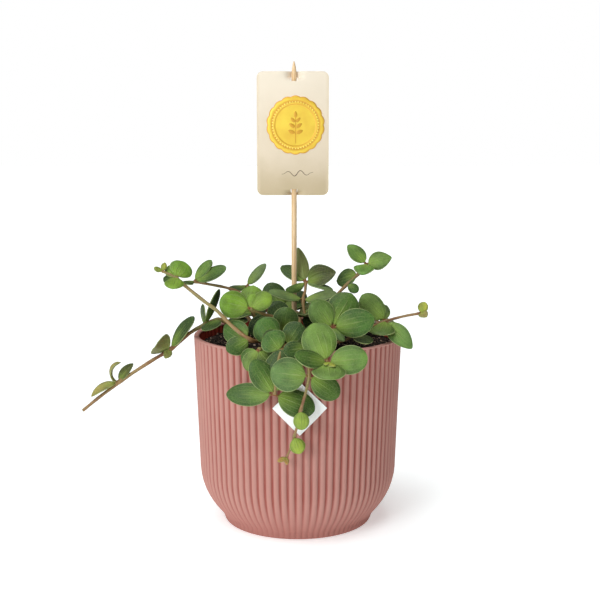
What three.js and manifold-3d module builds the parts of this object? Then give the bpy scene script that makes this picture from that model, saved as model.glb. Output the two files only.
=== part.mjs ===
// Trailing peperomia in a fluted pot, with a name card on a wooden stick.
// Millimetres, Z up. The pot's axis is X = Y = 0, its base is at Z = 0, and the viewer stands at -Y.
import * as THREE from "three";
import { mergeVertices } from "three/addons/utils/BufferGeometryUtils.js";
import Module from "manifold-3d";

const wasm = await Module();
wasm.setup();

// Gap that touching pieces keep between them.
const GAP = 0.3;

// Pot: a straight wall that widens slightly upwards, a round belly and a small foot.
const POT_HEIGHT = 127.4;
const RIM_RADIUS = 70;
const BELLY_TOP = 42;
const BELLY_TOP_RADIUS = 66.8;
const FOOT_TOP = 6.2;
const FOOT_TOP_RADIUS = 52.1;
const FOOT_BASE_RADIUS = 49.9;
const BELLY_POWER = 2.4;
const BELLY_RINGS = [11, 21];
const WALL = 3.5;
const FLOOR = 4;
const FLOOR_CORNER = 3.5;
const CAVITY_RINGS = [12, 20, 30, BELLY_TOP];
const FLUTES = 84;
const FLUTE_DEPTH = 1.2;
const FLUTE_TURN = -91.1;
const LIP_HEIGHT = 1.4;
const LIP_ROUND = 0.6;

// Soil: fills the pot to a little below the rim.
const SOIL_TOP = 120.5;
const SOIL_BUMP = 0.8;
const SOIL_GAP = 0.4;
const SOIL_SIDES = 24;
const SOIL_RINGS = [0.8, 0.42];
// Waves of the soil's top: waves a millimetre outwards, lobes round the axis, and a shift.
const SOIL_WAVES = [
  [0.9, 3, 0],
  [0.5, -5, 1],
];

// Stick and card.
const STICK_X = -2.4;
const STICK_Y = 4;
const STICK_RADIUS = 1.75;
const STICK_FOOT = 45;
const STICK_TIP = 308;
const STICK_POINT = 8;
const STICK_TIP_RADIUS = 0.4;
const STICK_SIDES = 12;
const CARD_X = -3.2;
const CARD_WIDTH = 47.5;
const CARD_BOTTOM = 220.4;
const CARD_TOP = 301.5;
const CARD_THICKNESS = 0.6;
const CARD_CORNER = 4;
const CARD_BOW = 1.2;
const SLOT_HALF_WIDTH = 2.7;
const SLOT_HEIGHT = 2.6;
const SLOT_CUT = 30;
const UPPER_SLOT = 295.2;
const LOWER_SLOT = 224.4;
const STRAP_HALF_WIDTH = 4.2;
const STRAP_ROOM = 0.15;

// Label: a square of paper on its corner, stuck on the flutes.
const LABEL_X = 1.4;
const LABEL_HEIGHT = 91.8;
const LABEL_HALF_DIAGONAL = 17.2;
const LABEL_THICKNESS = 0.5;
const LABEL_STEPS = 5;

// Leaf and stem.
const BLADE_THICKNESS = 1;
const PETIOLE_WIDTH = 1.5;
const PETIOLE_SHARE = 0.1;
const EDGE_DROP = 0.1;
const BLADE_SKEW = 1.08;
const SMALL_LEAF = 9;
const LARGE_LEAF = 20;
const STEM_SIDES = 6;
const STEM_STEP = 11;
const HOLE_ROOM = 0.9;
const HOLE_RISE = 1.5;

// A closed geometry as a solid, with shared corners merged and flat triangles dropped.
function solidOf(geometry) {
  const bare = new THREE.BufferGeometry();
  bare.setAttribute("position", geometry.getAttribute("position").clone());
  bare.setIndex(geometry.index ? geometry.index.clone() : null);
  const merged = mergeVertices(bare, 1e-4);
  const source = merged.index.array;
  const triangles = [];
  for (let i = 0; i < source.length; i += 3) {
    const [a, b, c] = [source[i], source[i + 1], source[i + 2]];
    if (a !== b && b !== c && c !== a) triangles.push(a, b, c);
  }
  const make = (corners) =>
    new wasm.Manifold(
      new wasm.Mesh({
        numProp: 3,
        vertProperties: new Float32Array(merged.attributes.position.array),
        triVerts: new Uint32Array(corners),
      }),
    );
  const solid = make(triangles);
  return solid.volume() < 0 ? make(triangles.reverse()) : solid;
}

// A solid as a geometry, ready for a mesh.
function geometryOf(solid) {
  const mesh = solid.getMesh();
  const positions = new Float32Array(mesh.numVert * 3);
  for (let i = 0; i < mesh.numVert; i++) {
    const first = i * mesh.numProp;
    positions.set(mesh.vertProperties.subarray(first, first + 3), i * 3);
  }
  const geometry = new THREE.BufferGeometry();
  geometry.setAttribute("position", new THREE.BufferAttribute(positions, 3));
  geometry.setIndex(new THREE.BufferAttribute(mesh.triVerts, 1));
  geometry.computeVertexNormals();
  return geometry;
}

function geometryFrom(points, triangles) {
  const geometry = new THREE.BufferGeometry();
  geometry.setAttribute("position", new THREE.Float32BufferAttribute(points.flat(), 3));
  geometry.setIndex(triangles.flat());
  return geometry;
}

// Rings of points from bottom to top, closed by a point on the axis at each end.
function ringStack(rings) {
  const columns = rings[0].length;
  const middle = (ring) => [0, 0, ring.reduce((sum, point) => sum + point[2], 0) / columns];
  const points = [middle(rings[0]), ...rings.flat(), middle(rings.at(-1))];
  const at = (ring, column) => 1 + ring * columns + (column % columns);
  const triangles = [];
  for (let column = 0; column < columns; column++) {
    triangles.push([0, at(0, column + 1), at(0, column)]);
    for (let ring = 0; ring + 1 < rings.length; ring++) {
      const [a, b] = [at(ring, column), at(ring, column + 1)];
      const [c, d] = [at(ring + 1, column + 1), at(ring + 1, column)];
      triangles.push([a, b, c], [a, c, d]);
    }
    const last = rings.length - 1;
    triangles.push([at(last, column), at(last, column + 1), points.length - 1]);
  }
  return geometryFrom(points, triangles);
}

function onCircle(radius, degrees, z) {
  const angle = THREE.MathUtils.degToRad(degrees);
  return [radius * Math.cos(angle), radius * Math.sin(angle), z];
}

// Radius of the pot's ribs at a height, without the grooves.
function potRadius(z) {
  if (z <= FOOT_TOP) {
    return THREE.MathUtils.mapLinear(z, 0, FOOT_TOP, FOOT_BASE_RADIUS, FOOT_TOP_RADIUS);
  }
  if (z < BELLY_TOP) {
    const share = (BELLY_TOP - z) / (BELLY_TOP - FOOT_TOP);
    return BELLY_TOP_RADIUS - (BELLY_TOP_RADIUS - FOOT_TOP_RADIUS) * share ** BELLY_POWER;
  }
  return THREE.MathUtils.mapLinear(z, BELLY_TOP, POT_HEIGHT, BELLY_TOP_RADIUS, RIM_RADIUS);
}

// One ring of the wall, with a groove and a crest for each flute.
function flutedRing(radius, depth, z) {
  return Array.from({ length: 2 * FLUTES }, (_, i) => {
    const inward = i % 2 === 0 ? depth : 0;
    return onCircle(radius - inward, FLUTE_TURN + (i * 180) / FLUTES, z);
  });
}

// Inside of the pot, as a profile from the axis to the wall and up past the rim.
function cavityProfile(inset, top) {
  const floorRadius = potRadius(FLOOR + FLOOR_CORNER) - WALL - FLOOR_CORNER - inset;
  return [
    new THREE.Vector2(0, FLOOR + inset),
    new THREE.Vector2(floorRadius, FLOOR + inset),
    ...CAVITY_RINGS.map((z) => new THREE.Vector2(potRadius(z) - WALL - inset, z)),
    new THREE.Vector2(potRadius(top) - WALL - inset, top),
  ];
}

// A profile turned about the upright axis: LatheGeometry turns about Y, so it is stood up.
function turned(profile, segments) {
  const closed = [...profile, new THREE.Vector2(0, profile.at(-1).y)];
  return new THREE.LatheGeometry(closed, segments).rotateX(Math.PI / 2);
}

function buildPot() {
  const lipStart = POT_HEIGHT - LIP_HEIGHT;
  const heights = [0, FOOT_TOP, ...BELLY_RINGS, BELLY_TOP, lipStart];
  const rings = heights.map((z) => flutedRing(potRadius(z), FLUTE_DEPTH, z));
  rings.push(flutedRing(RIM_RADIUS, 0, lipStart + LIP_ROUND));
  rings.push(flutedRing(RIM_RADIUS - LIP_ROUND, 0, POT_HEIGHT));
  const inside = turned(cavityProfile(0, POT_HEIGHT + 1), FLUTES / 2);
  return solidOf(ringStack(rings)).subtract(solidOf(inside));
}

// Soil's top: rings that rise and fall by a sum of waves, flat at the wall.
function soilHeight(radius, degrees) {
  const angle = THREE.MathUtils.degToRad(degrees);
  const waves = SOIL_WAVES.map(([rate, lobes, shift]) => Math.sin(radius * rate + lobes * angle + shift));
  return SOIL_TOP + (SOIL_BUMP * (waves[0] + waves[1])) / 2;
}

function buildSoil(holes) {
  const profile = cavityProfile(SOIL_GAP, SOIL_TOP).slice(1);
  const turns = Array.from({ length: SOIL_SIDES }, (_, i) => (i * 360) / SOIL_SIDES);
  const rings = profile.map(({ x, y }) => turns.map((turn) => onCircle(x, turn, y)));
  const edge = profile.at(-1).x;
  for (const share of SOIL_RINGS) {
    rings.push(turns.map((turn) => onCircle(edge * share, turn, soilHeight(edge * share, turn))));
  }
  return holes.reduce((soil, hole) => soil.subtract(hole), solidOf(ringStack(rings)));
}

function stickSolid(clearance) {
  const foot = STICK_FOOT - clearance;
  const profile = [
    new THREE.Vector2(0, foot),
    new THREE.Vector2(STICK_RADIUS + clearance, foot),
    new THREE.Vector2(STICK_RADIUS + clearance, STICK_TIP - STICK_POINT),
    new THREE.Vector2(STICK_TIP_RADIUS, STICK_TIP),
  ];
  return solidOf(turned(profile, STICK_SIDES).translate(STICK_X, STICK_Y, 0));
}

// Depth of the card: in front of the stick, and round behind it at the strap past each slot.
function cardDepth(x, z) {
  const reach = STICK_RADIUS + GAP + STRAP_ROOM + CARD_THICKNESS / 2;
  const above = THREE.MathUtils.smoothstep(z, UPPER_SLOT, UPPER_SLOT + SLOT_HEIGHT);
  const below = 1 - THREE.MathUtils.smoothstep(z, LOWER_SLOT - SLOT_HEIGHT, LOWER_SLOT);
  const strap = Math.exp(-(((x - STICK_X) / STRAP_HALF_WIDTH) ** 2)) * Math.max(above, below);
  const bow = CARD_BOW * ((x - CARD_X) / (CARD_WIDTH / 2)) ** 2;
  return STICK_Y - reach + bow + 2 * reach * strap;
}

function buildCard() {
  const radius = CARD_CORNER;
  const corner = [0, 0.3, 1].map((share) => share * radius);
  const middle = [0.35, 0.65].map((share) => THREE.MathUtils.lerp(CARD_BOTTOM, CARD_TOP, share));
  const slots = [LOWER_SLOT - SLOT_HEIGHT / 2, LOWER_SLOT, UPPER_SLOT, UPPER_SLOT + SLOT_HEIGHT / 2];
  const heights = [
    ...corner.map((step) => CARD_BOTTOM + step),
    ...middle,
    ...slots,
    ...corner.map((step) => CARD_TOP - step),
  ].sort((a, b) => a - b);
  const nearStick = [-3.6, -1.8, 0, 1.8, 3.6].map((x) => x + STICK_X - CARD_X);
  const edges = [-1, -0.55, -0.3].map((share) => (share * CARD_WIDTH) / 2);
  const columns = [...edges, ...nearStick, ...edges.map((x) => -x).reverse()];
  const halfWidth = (z) => {
    const edge = Math.min(z - CARD_BOTTOM, CARD_TOP - z, radius);
    return CARD_WIDTH / 2 - radius + Math.sqrt(radius ** 2 - (radius - edge) ** 2);
  };
  const sheet = (side) =>
    heights.flatMap((z) =>
      columns.map((column) => {
        const x = CARD_X + (column * halfWidth(z)) / (CARD_WIDTH / 2);
        return [x, cardDepth(x, z) + (side * CARD_THICKNESS) / 2, z];
      }),
    );
  const solid = solidOf(thickSheet(sheet(-1), sheet(1), heights.length, columns.length));
  const slot = (z) => {
    const box = new THREE.BoxGeometry(2 * SLOT_HALF_WIDTH, SLOT_CUT, SLOT_HEIGHT);
    return solidOf(box.translate(STICK_X, STICK_Y, z));
  };
  return solid
    .subtract(slot(UPPER_SLOT + SLOT_HEIGHT / 2))
    .subtract(slot(LOWER_SLOT - SLOT_HEIGHT / 2));
}

// Two like sheets of rows by columns, closed by a wall round their edge.
function thickSheet(front, back, rows, columns) {
  const count = rows * columns;
  const triangles = [];
  const quad = (a, b, c, d) => triangles.push([a, b, c], [a, c, d]);
  for (let row = 0; row + 1 < rows; row++) {
    for (let column = 0; column + 1 < columns; column++) {
      const a = row * columns + column;
      const [b, c, d] = [a + 1, a + 1 + columns, a + columns];
      quad(a, b, c, d);
      triangles.push([a + count, c + count, b + count], [a + count, d + count, c + count]);
    }
  }
  const edge = [];
  for (let column = 0; column < columns; column++) edge.push(column);
  for (let row = 1; row < rows; row++) edge.push(row * columns + columns - 1);
  for (let column = columns - 2; column >= 0; column--) edge.push((rows - 1) * columns + column);
  for (let row = rows - 2; row > 0; row--) edge.push(row * columns);
  edge.forEach((a, i) => {
    const b = edge[(i + 1) % edge.length];
    quad(b, a, a + count, b + count);
  });
  return geometryFrom([...front, ...back], triangles);
}

// Label: a diamond wrapped round the ribs of the wall.
function buildLabel() {
  const sheet = (clearance) => {
    const points = [];
    for (let row = 0; row <= LABEL_STEPS; row++) {
      for (let column = 0; column <= LABEL_STEPS; column++) {
        const [u, v] = [column / LABEL_STEPS, row / LABEL_STEPS];
        const along = LABEL_X + (u - v) * LABEL_HALF_DIAGONAL;
        const z = LABEL_HEIGHT + (u + v - 1) * LABEL_HALF_DIAGONAL;
        const radius = potRadius(z) + clearance;
        points.push(onCircle(radius, -90 + THREE.MathUtils.radToDeg(along / radius), z));
      }
    }
    return points;
  };
  const rows = LABEL_STEPS + 1;
  return solidOf(thickSheet(sheet(GAP + LABEL_THICKNESS), sheet(GAP), rows, rows));
}

function stemCurve(path) {
  return new THREE.CatmullRomCurve3(path.map((point) => new THREE.Vector3(...point)));
}

// A round stem along its path, as a prism of few sides.
function stemSolid(path, girth) {
  const curve = stemCurve(path);
  const corners = Array.from({ length: STEM_SIDES }, (_, i) => {
    const angle = (i * 2 * Math.PI) / STEM_SIDES;
    return new THREE.Vector2((girth / 2) * Math.cos(angle), (girth / 2) * Math.sin(angle));
  });
  const steps = Math.max(3, Math.round(curve.getLength() / STEM_STEP));
  const options = { steps, extrudePath: curve, bevelEnabled: false };
  return solidOf(new THREE.ExtrudeGeometry(new THREE.Shape(corners), options));
}

// Direction of a leaf's midrib, and its upper face's normal: roll 0 faces as far up as it can.
function leafFrame(turn, lift, roll) {
  const [heading, rise] = [turn, lift].map(THREE.MathUtils.degToRad);
  const along = new THREE.Vector3(
    Math.cos(rise) * Math.cos(heading),
    Math.cos(rise) * Math.sin(heading),
    Math.sin(rise),
  );
  const face = new THREE.Vector3(0, 0, 1).addScaledVector(along, -along.z).normalize();
  face.applyAxisAngle(along, THREE.MathUtils.degToRad(roll));
  const side = new THREE.Vector3().crossVectors(face, along);
  return { along, face, side };
}

// Half the blade's width at a share of its length: an oval, widest a little past the middle.
function bladeHalfWidth(share, width) {
  const across = 2 * share ** BLADE_SKEW - 1;
  return (width / 2) * Math.sqrt(1 - across ** 2);
}

// Shares of the length where a blade has a row of corners: more on a wider one.
function bladeRows(width) {
  if (width < SMALL_LEAF) return [0.25, 0.7];
  return width < LARGE_LEAF ? [0.15, 0.5, 0.85] : [0.12, 0.38, 0.7, 0.92];
}

// One leaf: a thick arched blade on a short flat stalk that starts inside the stem.
function leafSolid(root, [turn, lift, length, width, roll, arch]) {
  const { along, face, side } = leafFrame(turn, lift, roll);
  const bend = THREE.MathUtils.degToRad(arch);
  // Corners of one cross section: a stalk's has two, the tip's one, and the blade's three.
  const section = (share, halfWidth, places) => {
    const angle = bend * (share - 0.5);
    const reach = (length / bend) * (Math.sin(angle) + Math.sin(bend / 2));
    const rise = (length / bend) * (Math.cos(angle) - Math.cos(bend / 2));
    const centre = new THREE.Vector3(...root).addScaledVector(along, reach).addScaledVector(face, rise);
    const normal = face.clone().multiplyScalar(Math.cos(angle)).addScaledVector(along, Math.sin(angle));
    return places.map((across) => {
      const point = centre.clone().addScaledVector(side, across * halfWidth);
      const drop = places.length === 3 ? EDGE_DROP * Math.abs(across) * halfWidth : 0;
      return [1, -1].map((level) =>
        point.clone().addScaledVector(normal, (level * BLADE_THICKNESS) / 2 - drop).toArray(),
      );
    });
  };
  const sections = [0, PETIOLE_SHARE].map((share) => section(share, PETIOLE_WIDTH / 2, [-1, 1]));
  for (const share of bladeRows(width)) {
    const whole = PETIOLE_SHARE + share * (1 - PETIOLE_SHARE);
    sections.push(section(whole, bladeHalfWidth(share, width), [-1, 0, 1]));
  }
  sections.push(section(1, 0, [0]));
  const corners = sections.flat();
  const points = [...corners.map(([upper]) => upper), ...corners.map(([, lower]) => lower)];
  return solidOf(geometryFrom(points, bladeTriangles(sections.length - 3)));
}

// Triangles of a blade: the same split on both faces, a wall round the rim and a cap at the root.
// The corners run from the stalk's four (0 to 3) through the blade's rows of three to the tip.
function bladeTriangles(rows) {
  const tip = 4 + rows * 3;
  const under = tip + 1;
  const triangles = [];
  const bothFaces = (a, b, c) => triangles.push([a, b, c], [a + under, c + under, b + under]);
  bothFaces(0, 2, 3);
  bothFaces(0, 3, 1);
  bothFaces(2, 4, 5);
  bothFaces(2, 5, 3);
  bothFaces(3, 5, 6);
  for (let a = 4; a + 3 < tip; a += 3) {
    bothFaces(a, a + 3, a + 4);
    bothFaces(a, a + 4, a + 1);
    bothFaces(a + 1, a + 4, a + 2);
    bothFaces(a + 4, a + 5, a + 2);
  }
  bothFaces(tip - 3, tip, tip - 2);
  bothFaces(tip - 2, tip, tip - 1);
  const left = Array.from({ length: rows }, (_, row) => 4 + row * 3);
  const right = left.map((corner) => corner + 2).reverse();
  const rim = [0, 2, ...left, tip, ...right, 3, 1];
  rim.forEach((a, i) => {
    const b = rim[(i + 1) % rim.length];
    triangles.push([a, a + under, b + under], [a, b + under, b]);
  });
  return triangles;
}

// The plant. A stem has its girth, the points it passes and the leaves at some of those points.
// A leaf is [turn from +X, lift, length, width, roll, arch], in degrees and millimetres.
const SHOOTS = [
  {
    name: "shoot_left_trailing",
    stems: [
      {
        girth: 2.7,
        path: [
          [-36, -4, 110],
          [-37, -5, 122],
          [-44, -8, 133],
          [-53, -9, 138],
          [-62, -12, 135],
          [-71, -16, 130.5],
          [-84, -20, 120],
          [-96, -23, 113],
          [-118, -26, 99],
        ],
        whorls: {
          2: [
            [75, 12, 20, 15, 0, 20],
            [-50, 2, 18, 14, 0, 20],
          ],
          3: [[-110, -12, 21, 13, 5, 20]],
          4: [
            [11, 67, 26, 10, 143, 20],
            [124, 80, 14, 9, -100, 20],
          ],
          6: [
            [7, 54, 27, 13, 29, 25],
            [-127, 14, 15, 19, 55, 30],
            [-120, -40, 8, 6, -38, 20],
          ],
          8: [
            [0, 81, 18, 8, 14, 150],
            [-167, -26, 20, 9, -23, 40],
            [33, 46, 16, 7, 39, 30],
          ],
        },
      },
      {
        girth: 2.4,
        path: [
          [-117, -26, 99.4],
          [-131, -28, 89],
          [-141, -30, 81],
        ],
        whorls: {},
      },
    ],
  },
  {
    name: "shoot_upper_left",
    stems: [
      {
        girth: 2.6,
        path: [
          [-16, -36, 110],
          [-18, -39, 122],
          [-23, -49, 130],
          [-30, -58, 133.5],
          [-41, -55, 141.5],
          [-51, -49, 150.5],
          [-59, -42, 155],
          [-73, -35, 165],
          [-78, -32, 169],
        ],
        whorls: {
          3: [
            [-149, -20, 17, 13, -57, 20],
            [146, 19, 21, 16, -58, 15],
          ],
          8: [
            [64, 40, 14, 16, 37, 25],
            [-94, -21, 15, 13, -4, 20],
            [152, -3, 10, 9, -37, 20],
            [124, 36, 12, 10, -18, 20],
          ],
        },
      },
      {
        girth: 1.8,
        path: [
          [-77, -32, 168.6],
          [-82, -31, 171],
          [-87, -30, 173],
        ],
        whorls: {
          2: [
            [180, 24, 6, 4, -43, 10],
            [55, 65, 6, 4, 30, 10],
          ],
        },
      },
    ],
  },
  {
    name: "shoot_left_back",
    stems: [
      {
        girth: 2.2,
        path: [
          [-24, 12, 110],
          [-26, 12, 122],
          [-31, 11, 140],
          [-38, 12, 152],
          [-48, 12, 156.5],
          [-60, 12, 159],
          [-71, 12, 161],
        ],
        whorls: {
          2: [
            [150, 20, 22, 17, -30, 20],
            [95, 15, 20, 15, 0, 20],
            [-150, -10, 16, 13, 0, 20],
          ],
          6: [
            [9, 50, 19, 9, 41, 15],
            [-10, 24, 25, 11, 50, 15],
            [-139, -4, 9, 8, -11, 15],
          ],
        },
      },
    ],
  },
  {
    name: "shoot_bright_whorl",
    stems: [
      {
        girth: 2.2,
        path: [
          [-1, -13, 110],
          [-2, -16, 122],
          [-8, -27, 139],
          [-15, -36, 144],
          [-23, -42, 147.5],
          [-30, -45, 151],
        ],
        whorls: {
          2: [
            [148, 53, 16, 15, -46, 15],
            [178, 8, 20, 16, -10, 15],
            [-155, -28, 14, 14, -25, 15],
          ],
          3: [[-165, -33, 19, 16, -64, 15]],
          5: [
            [-173, 15, 20, 18, -78, 15],
            [81, 52, 17, 15, 12, 15],
            [33, 68, 10, 9, 52, 30],
            [0, 33, 16, 12, 72, 15],
          ],
        },
      },
    ],
  },
  {
    name: "shoot_back_left",
    stems: [
      {
        girth: 2,
        path: [
          [-14, 24, 110],
          [-15, 25, 122],
          [-22, 27, 140],
          [-29, 29, 150],
          [-36, 32, 155],
        ],
        whorls: {
          2: [
            [60, 20, 20, 16, 0, 20],
            [25, 22, 17, 13, 0, 20],
          ],
          4: [
            [17, 48, 21, 9, 40, 15],
            [-155, -5, 14, 13, -9, 15],
            [105, -10, 18, 15, 0, 20],
          ],
        },
      },
    ],
  },
  {
    name: "shoot_crown",
    stems: [
      {
        girth: 2.2,
        path: [
          [7, -9, 110],
          [7, -10, 122],
          [5, -12, 140],
          [3.5, -8, 151],
          [5, -1, 156],
          [5.5, 4, 161.5],
        ],
        whorls: {
          2: [
            [-118, 18, 17, 15, 0, 20],
            [-55, 22, 20, 16, 0, 20],
            [25, 25, 20, 16, 0, 20],
          ],
          3: [
            [-160, 15, 25, 14, -22, 20],
            [-24, 12, 25, 15, 26, 20],
          ],
          5: [
            [124, 67, 25, 10, 144, 15],
            [-11, 20, 22, 17, 66, 25],
            [-136, -13, 19, 7, -37, -30],
            [-34, -12, 22, 12, 3, 25],
            [133, 21, 26, 12, -27, 15],
          ],
        },
      },
    ],
  },
  {
    name: "shoot_upper_right",
    stems: [
      {
        girth: 2.2,
        path: [
          [14, 4, 110],
          [14, 3, 122],
          [18, -1, 144],
          [24, 0, 151],
          [34, 2, 161],
          [41, 2, 167.5],
          [46, 2, 174],
        ],
        whorls: {
          2: [
            [70, 10, 21, 17, 0, 20],
            [-25, 12, 20, 16, 0, 20],
          ],
          4: [[-43, -31, 10, 7, 49, 15]],
          5: [[156, -20, 17, 14, -58, 15]],
          6: [
            [162, 44, 18, 13, -41, 20],
            [-10, 16, 18, 14, 72, 15],
            [-103, -18, 17, 15, -3, 20],
          ],
        },
      },
    ],
  },
  {
    name: "shoot_right",
    stems: [
      {
        girth: 2.4,
        path: [
          [15, -26, 110],
          [15, -28, 122],
          [17, -39, 131],
          [22, -50, 139.5],
        ],
        whorls: {
          3: [
            [171, 53, 21, 17, -76, 12],
            [39, 52, 26, 21, 49, 12],
            [-4, 13, 27, 19, 78, 15],
            [-39, -40, 12, 10, 3, 15],
          ],
        },
      },
      {
        girth: 2,
        path: [
          [16, -35, 126],
          [29, -44, 130],
          [35, -42, 133],
          [47, -34, 137],
          [57, -28, 140],
          [69, -26, 143],
          [80, -26, 145],
        ],
        whorls: {
          2: [[-34, -10, 15, 12, 11, 20]],
          4: [
            [165, 47, 23, 15, -64, 15],
            [108, 37, 16, 12, -20, 15],
            [-110, -22, 17, 18, -5, 15],
            [-38, -37, 26, 14, 50, 20],
          ],
          6: [
            [33, 62, 8, 7, 46, 15],
            [-59, -13, 7, 7, 31, 15],
          ],
        },
      },
    ],
  },
  {
    name: "shoot_front",
    stems: [
      {
        girth: 2.4,
        path: [
          [8, -36, 110],
          [8, -38, 122],
          [10, -50, 128.5],
          [13, -62, 130.5],
          [15, -70, 130],
          [17, -76, 127],
          [18, -79, 123],
        ],
        whorls: {
          6: [
            [133, 61, 26, 22, -43, 12],
            [-9, 9, 25, 18, 77, 12],
            [-153, 16, 23, 13, -51, 15],
            [-85, -22, 18, 21, 1, 20],
            [-62, -5, 9, 5, 4, 10],
            [-98, 0, 7, 4, -2, 10],
          ],
        },
      },
      {
        girth: 2,
        path: [
          [9, -46, 126],
          [5, -58, 130],
          [6, -70, 130.3],
          [6.5, -77, 123],
          [7, -80, 115],
          [5, -81, 105],
          [2, -81, 94],
          [0, -78, 84],
          [-2, -76, 76],
        ],
        whorls: {
          2: [[-154, -2, 16, 12, -63, 12]],
          4: [
            [-170, 7, 24, 22, -73, 12],
            [-6, -34, 22, 15, 72, 12],
          ],
          6: [[-79, -75, 12, 10, 11, 15]],
          8: [[-39, -64, 11, 10, 46, 15]],
        },
      },
      {
        girth: 1.5,
        path: [
          [-2, -76, 76.5],
          [-4, -75, 69],
          [-7, -74, 62],
        ],
        whorls: {
          2: [
            [-158, -16, 6, 3.5, -56, 10],
            [-81, -41, 5, 3.5, 8, 10],
          ],
        },
      },
    ],
  },
  {
    name: "shoot_front_left",
    stems: [
      {
        girth: 2.2,
        path: [
          [-3, -33, 110],
          [-3, -36, 122],
          [-4, -50, 129],
          [-7, -64, 130.5],
          [-10, -72, 129],
          [-12, -77, 120],
          [-13, -78, 111],
          [-14, -78, 103],
        ],
        whorls: {
          3: [[25, 55, 17, 15, 57, 12]],
          4: [[166, 50, 14, 17, -68, 12]],
          7: [
            [165, -3, 31, 15, -71, 12],
            [175, 58, 25, 16, -70, 12],
            [36, 74, 28, 21, 52, 12],
            [8, -24, 27, 17, 75, 12],
          ],
        },
      },
    ],
  },
  {
    name: "shoot_middle",
    stems: [
      {
        girth: 2.2,
        path: [
          [-9, -24, 110],
          [-9, -26, 122],
          [-9, -40, 134],
          [-13, -56, 131.5],
          [-18, -64, 130],
          [-24, -69.5, 129.4],
        ],
        whorls: {
          2: [[-49, 77, 18, 17, 137, 12]],
          3: [[161, 48, 18, 18, -66, 12]],
          5: [
            [170, -50, 14, 14, -75, 15],
            [-175, -62, 15, 12, -80, 15],
          ],
        },
      },
    ],
  },
  {
    name: "shoot_inner",
    stems: [
      {
        girth: 2.2,
        path: [
          [22, -14, 110],
          [22, -15, 122],
          [24, -20, 134],
          [22, -24, 142],
        ],
        whorls: {
          2: [
            [15, -5, 20, 16, 30, 20],
            [-70, -5, 17, 14, 20, 20],
          ],
          3: [[45, -5, 19, 16, 20, 20]],
        },
      },
    ],
  },
  {
    name: "shoot_centre",
    stems: [
      {
        girth: 2.2,
        path: [
          [-2, 12, 110],
          [-2, 13, 122],
          [-7, 17, 133],
          [-10, 20, 140],
        ],
        whorls: {
          1: [
            [-150, 12, 22, 17, 0, 20],
            [-30, 10, 14, 13, 0, 20],
          ],
          3: [
            [-120, 12, 20, 16, 0, 20],
            [0, 15, 19, 15, 0, 20],
            [152, 54, 22, 17, -56, 15],
          ],
        },
      },
    ],
  },
  {
    name: "shoot_back_hanging",
    stems: [
      {
        girth: 2.4,
        path: [
          [2, 34, 110],
          [2, 36, 122],
          [1, 50, 130],
          [0, 62, 131.5],
          [-1, 72, 129.5],
          [-2, 78, 121],
          [-3, 79, 108],
        ],
        whorls: {
          2: [
            [160, 20, 22, 17, 0, 20],
            [20, 25, 22, 17, 0, 20],
          ],
          4: [
            [170, 20, 24, 18, 60, 15],
            [10, 15, 24, 18, -60, 15],
          ],
          6: [
            [-175, 20, 23, 18, 80, 12],
            [5, 10, 23, 17, -80, 12],
            [80, -30, 18, 15, 0, 20],
          ],
        },
      },
      {
        girth: 1.7,
        path: [
          [-3, 79, 108.5],
          [-5, 78, 98],
          [-8, 76, 86],
        ],
        whorls: {
          2: [
            [150, 10, 13, 10, 60, 15],
            [10, 0, 13, 10, -60, 15],
            [-120, -75, 10, 7, 180, 15],
          ],
        },
      },
    ],
  },
  {
    name: "shoot_back_right",
    stems: [
      {
        girth: 2.2,
        path: [
          [26, 16, 110],
          [27, 17, 122],
          [36, 28, 134],
          [46, 40, 138],
          [53, 50, 134],
          [58, 56, 126],
        ],
        whorls: {
          2: [
            [-40, 20, 22, 17, 0, 20],
            [130, 20, 22, 17, 0, 20],
          ],
          3: [
            [-30, 10, 20, 16, -20, 20],
            [110, 10, 20, 16, 20, 20],
          ],
          5: [
            [-35, -10, 21, 17, -50, 15],
            [125, -5, 21, 17, 50, 15],
            [45, -50, 17, 14, 0, 20],
          ],
        },
      },
    ],
  },
  {
    name: "shoot_back_corner",
    stems: [
      {
        girth: 2.2,
        path: [
          [-28, 28, 110],
          [-29, 30, 122],
          [-36, 40, 132],
          [-43, 50, 132],
          [-49, 57, 128],
          [-52, 61, 120],
        ],
        whorls: {
          2: [
            [50, 15, 18, 15, 0, 20],
            [-160, 5, 20, 16, 0, 20],
          ],
          5: [
            [40, 0, 22, 17, -55, 15],
            [-150, 0, 22, 17, 50, 15],
            [130, -50, 18, 14, 0, 20],
          ],
        },
      },
    ],
  },
];

// One shoot: its stems and leaves joined in one solid.
function shootSolid({ stems }) {
  const pieces = stems.map(({ path, girth }) => stemSolid(path, girth));
  for (const { path, whorls } of stems) {
    for (const [index, leaves] of Object.entries(whorls)) {
      pieces.push(...leaves.map((leaf) => leafSolid(path[index], leaf)));
    }
  }
  return pieces.reduce((plant, piece) => plant.add(piece));
}

// The plain hole in the soil that a shoot's first stem stands in.
function stemHole({ stems }) {
  const [{ path, girth }] = stems;
  const [foot, surface] = path.map((point) => new THREE.Vector3(...point));
  const along = surface.clone().sub(foot).normalize();
  const bottom = foot.clone().addScaledVector(along, -GAP);
  const top = surface.clone().addScaledVector(along, HOLE_RISE);
  const radius = girth / 2 + HOLE_ROOM;
  const hole = new THREE.CylinderGeometry(radius, radius, bottom.distanceTo(top), STEM_SIDES);
  hole.applyQuaternion(new THREE.Quaternion().setFromUnitVectors(new THREE.Vector3(0, 1, 0), along));
  return solidOf(hole.translate(...bottom.add(top).multiplyScalar(0.5).toArray()));
}

const object = new THREE.Group();

function addNode(name, solid, color, roughness) {
  const material = new THREE.MeshStandardMaterial({ color, roughness, metalness: 0 });
  const mesh = new THREE.Mesh(geometryOf(solid), material);
  mesh.name = name;
  object.add(mesh);
}

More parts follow.
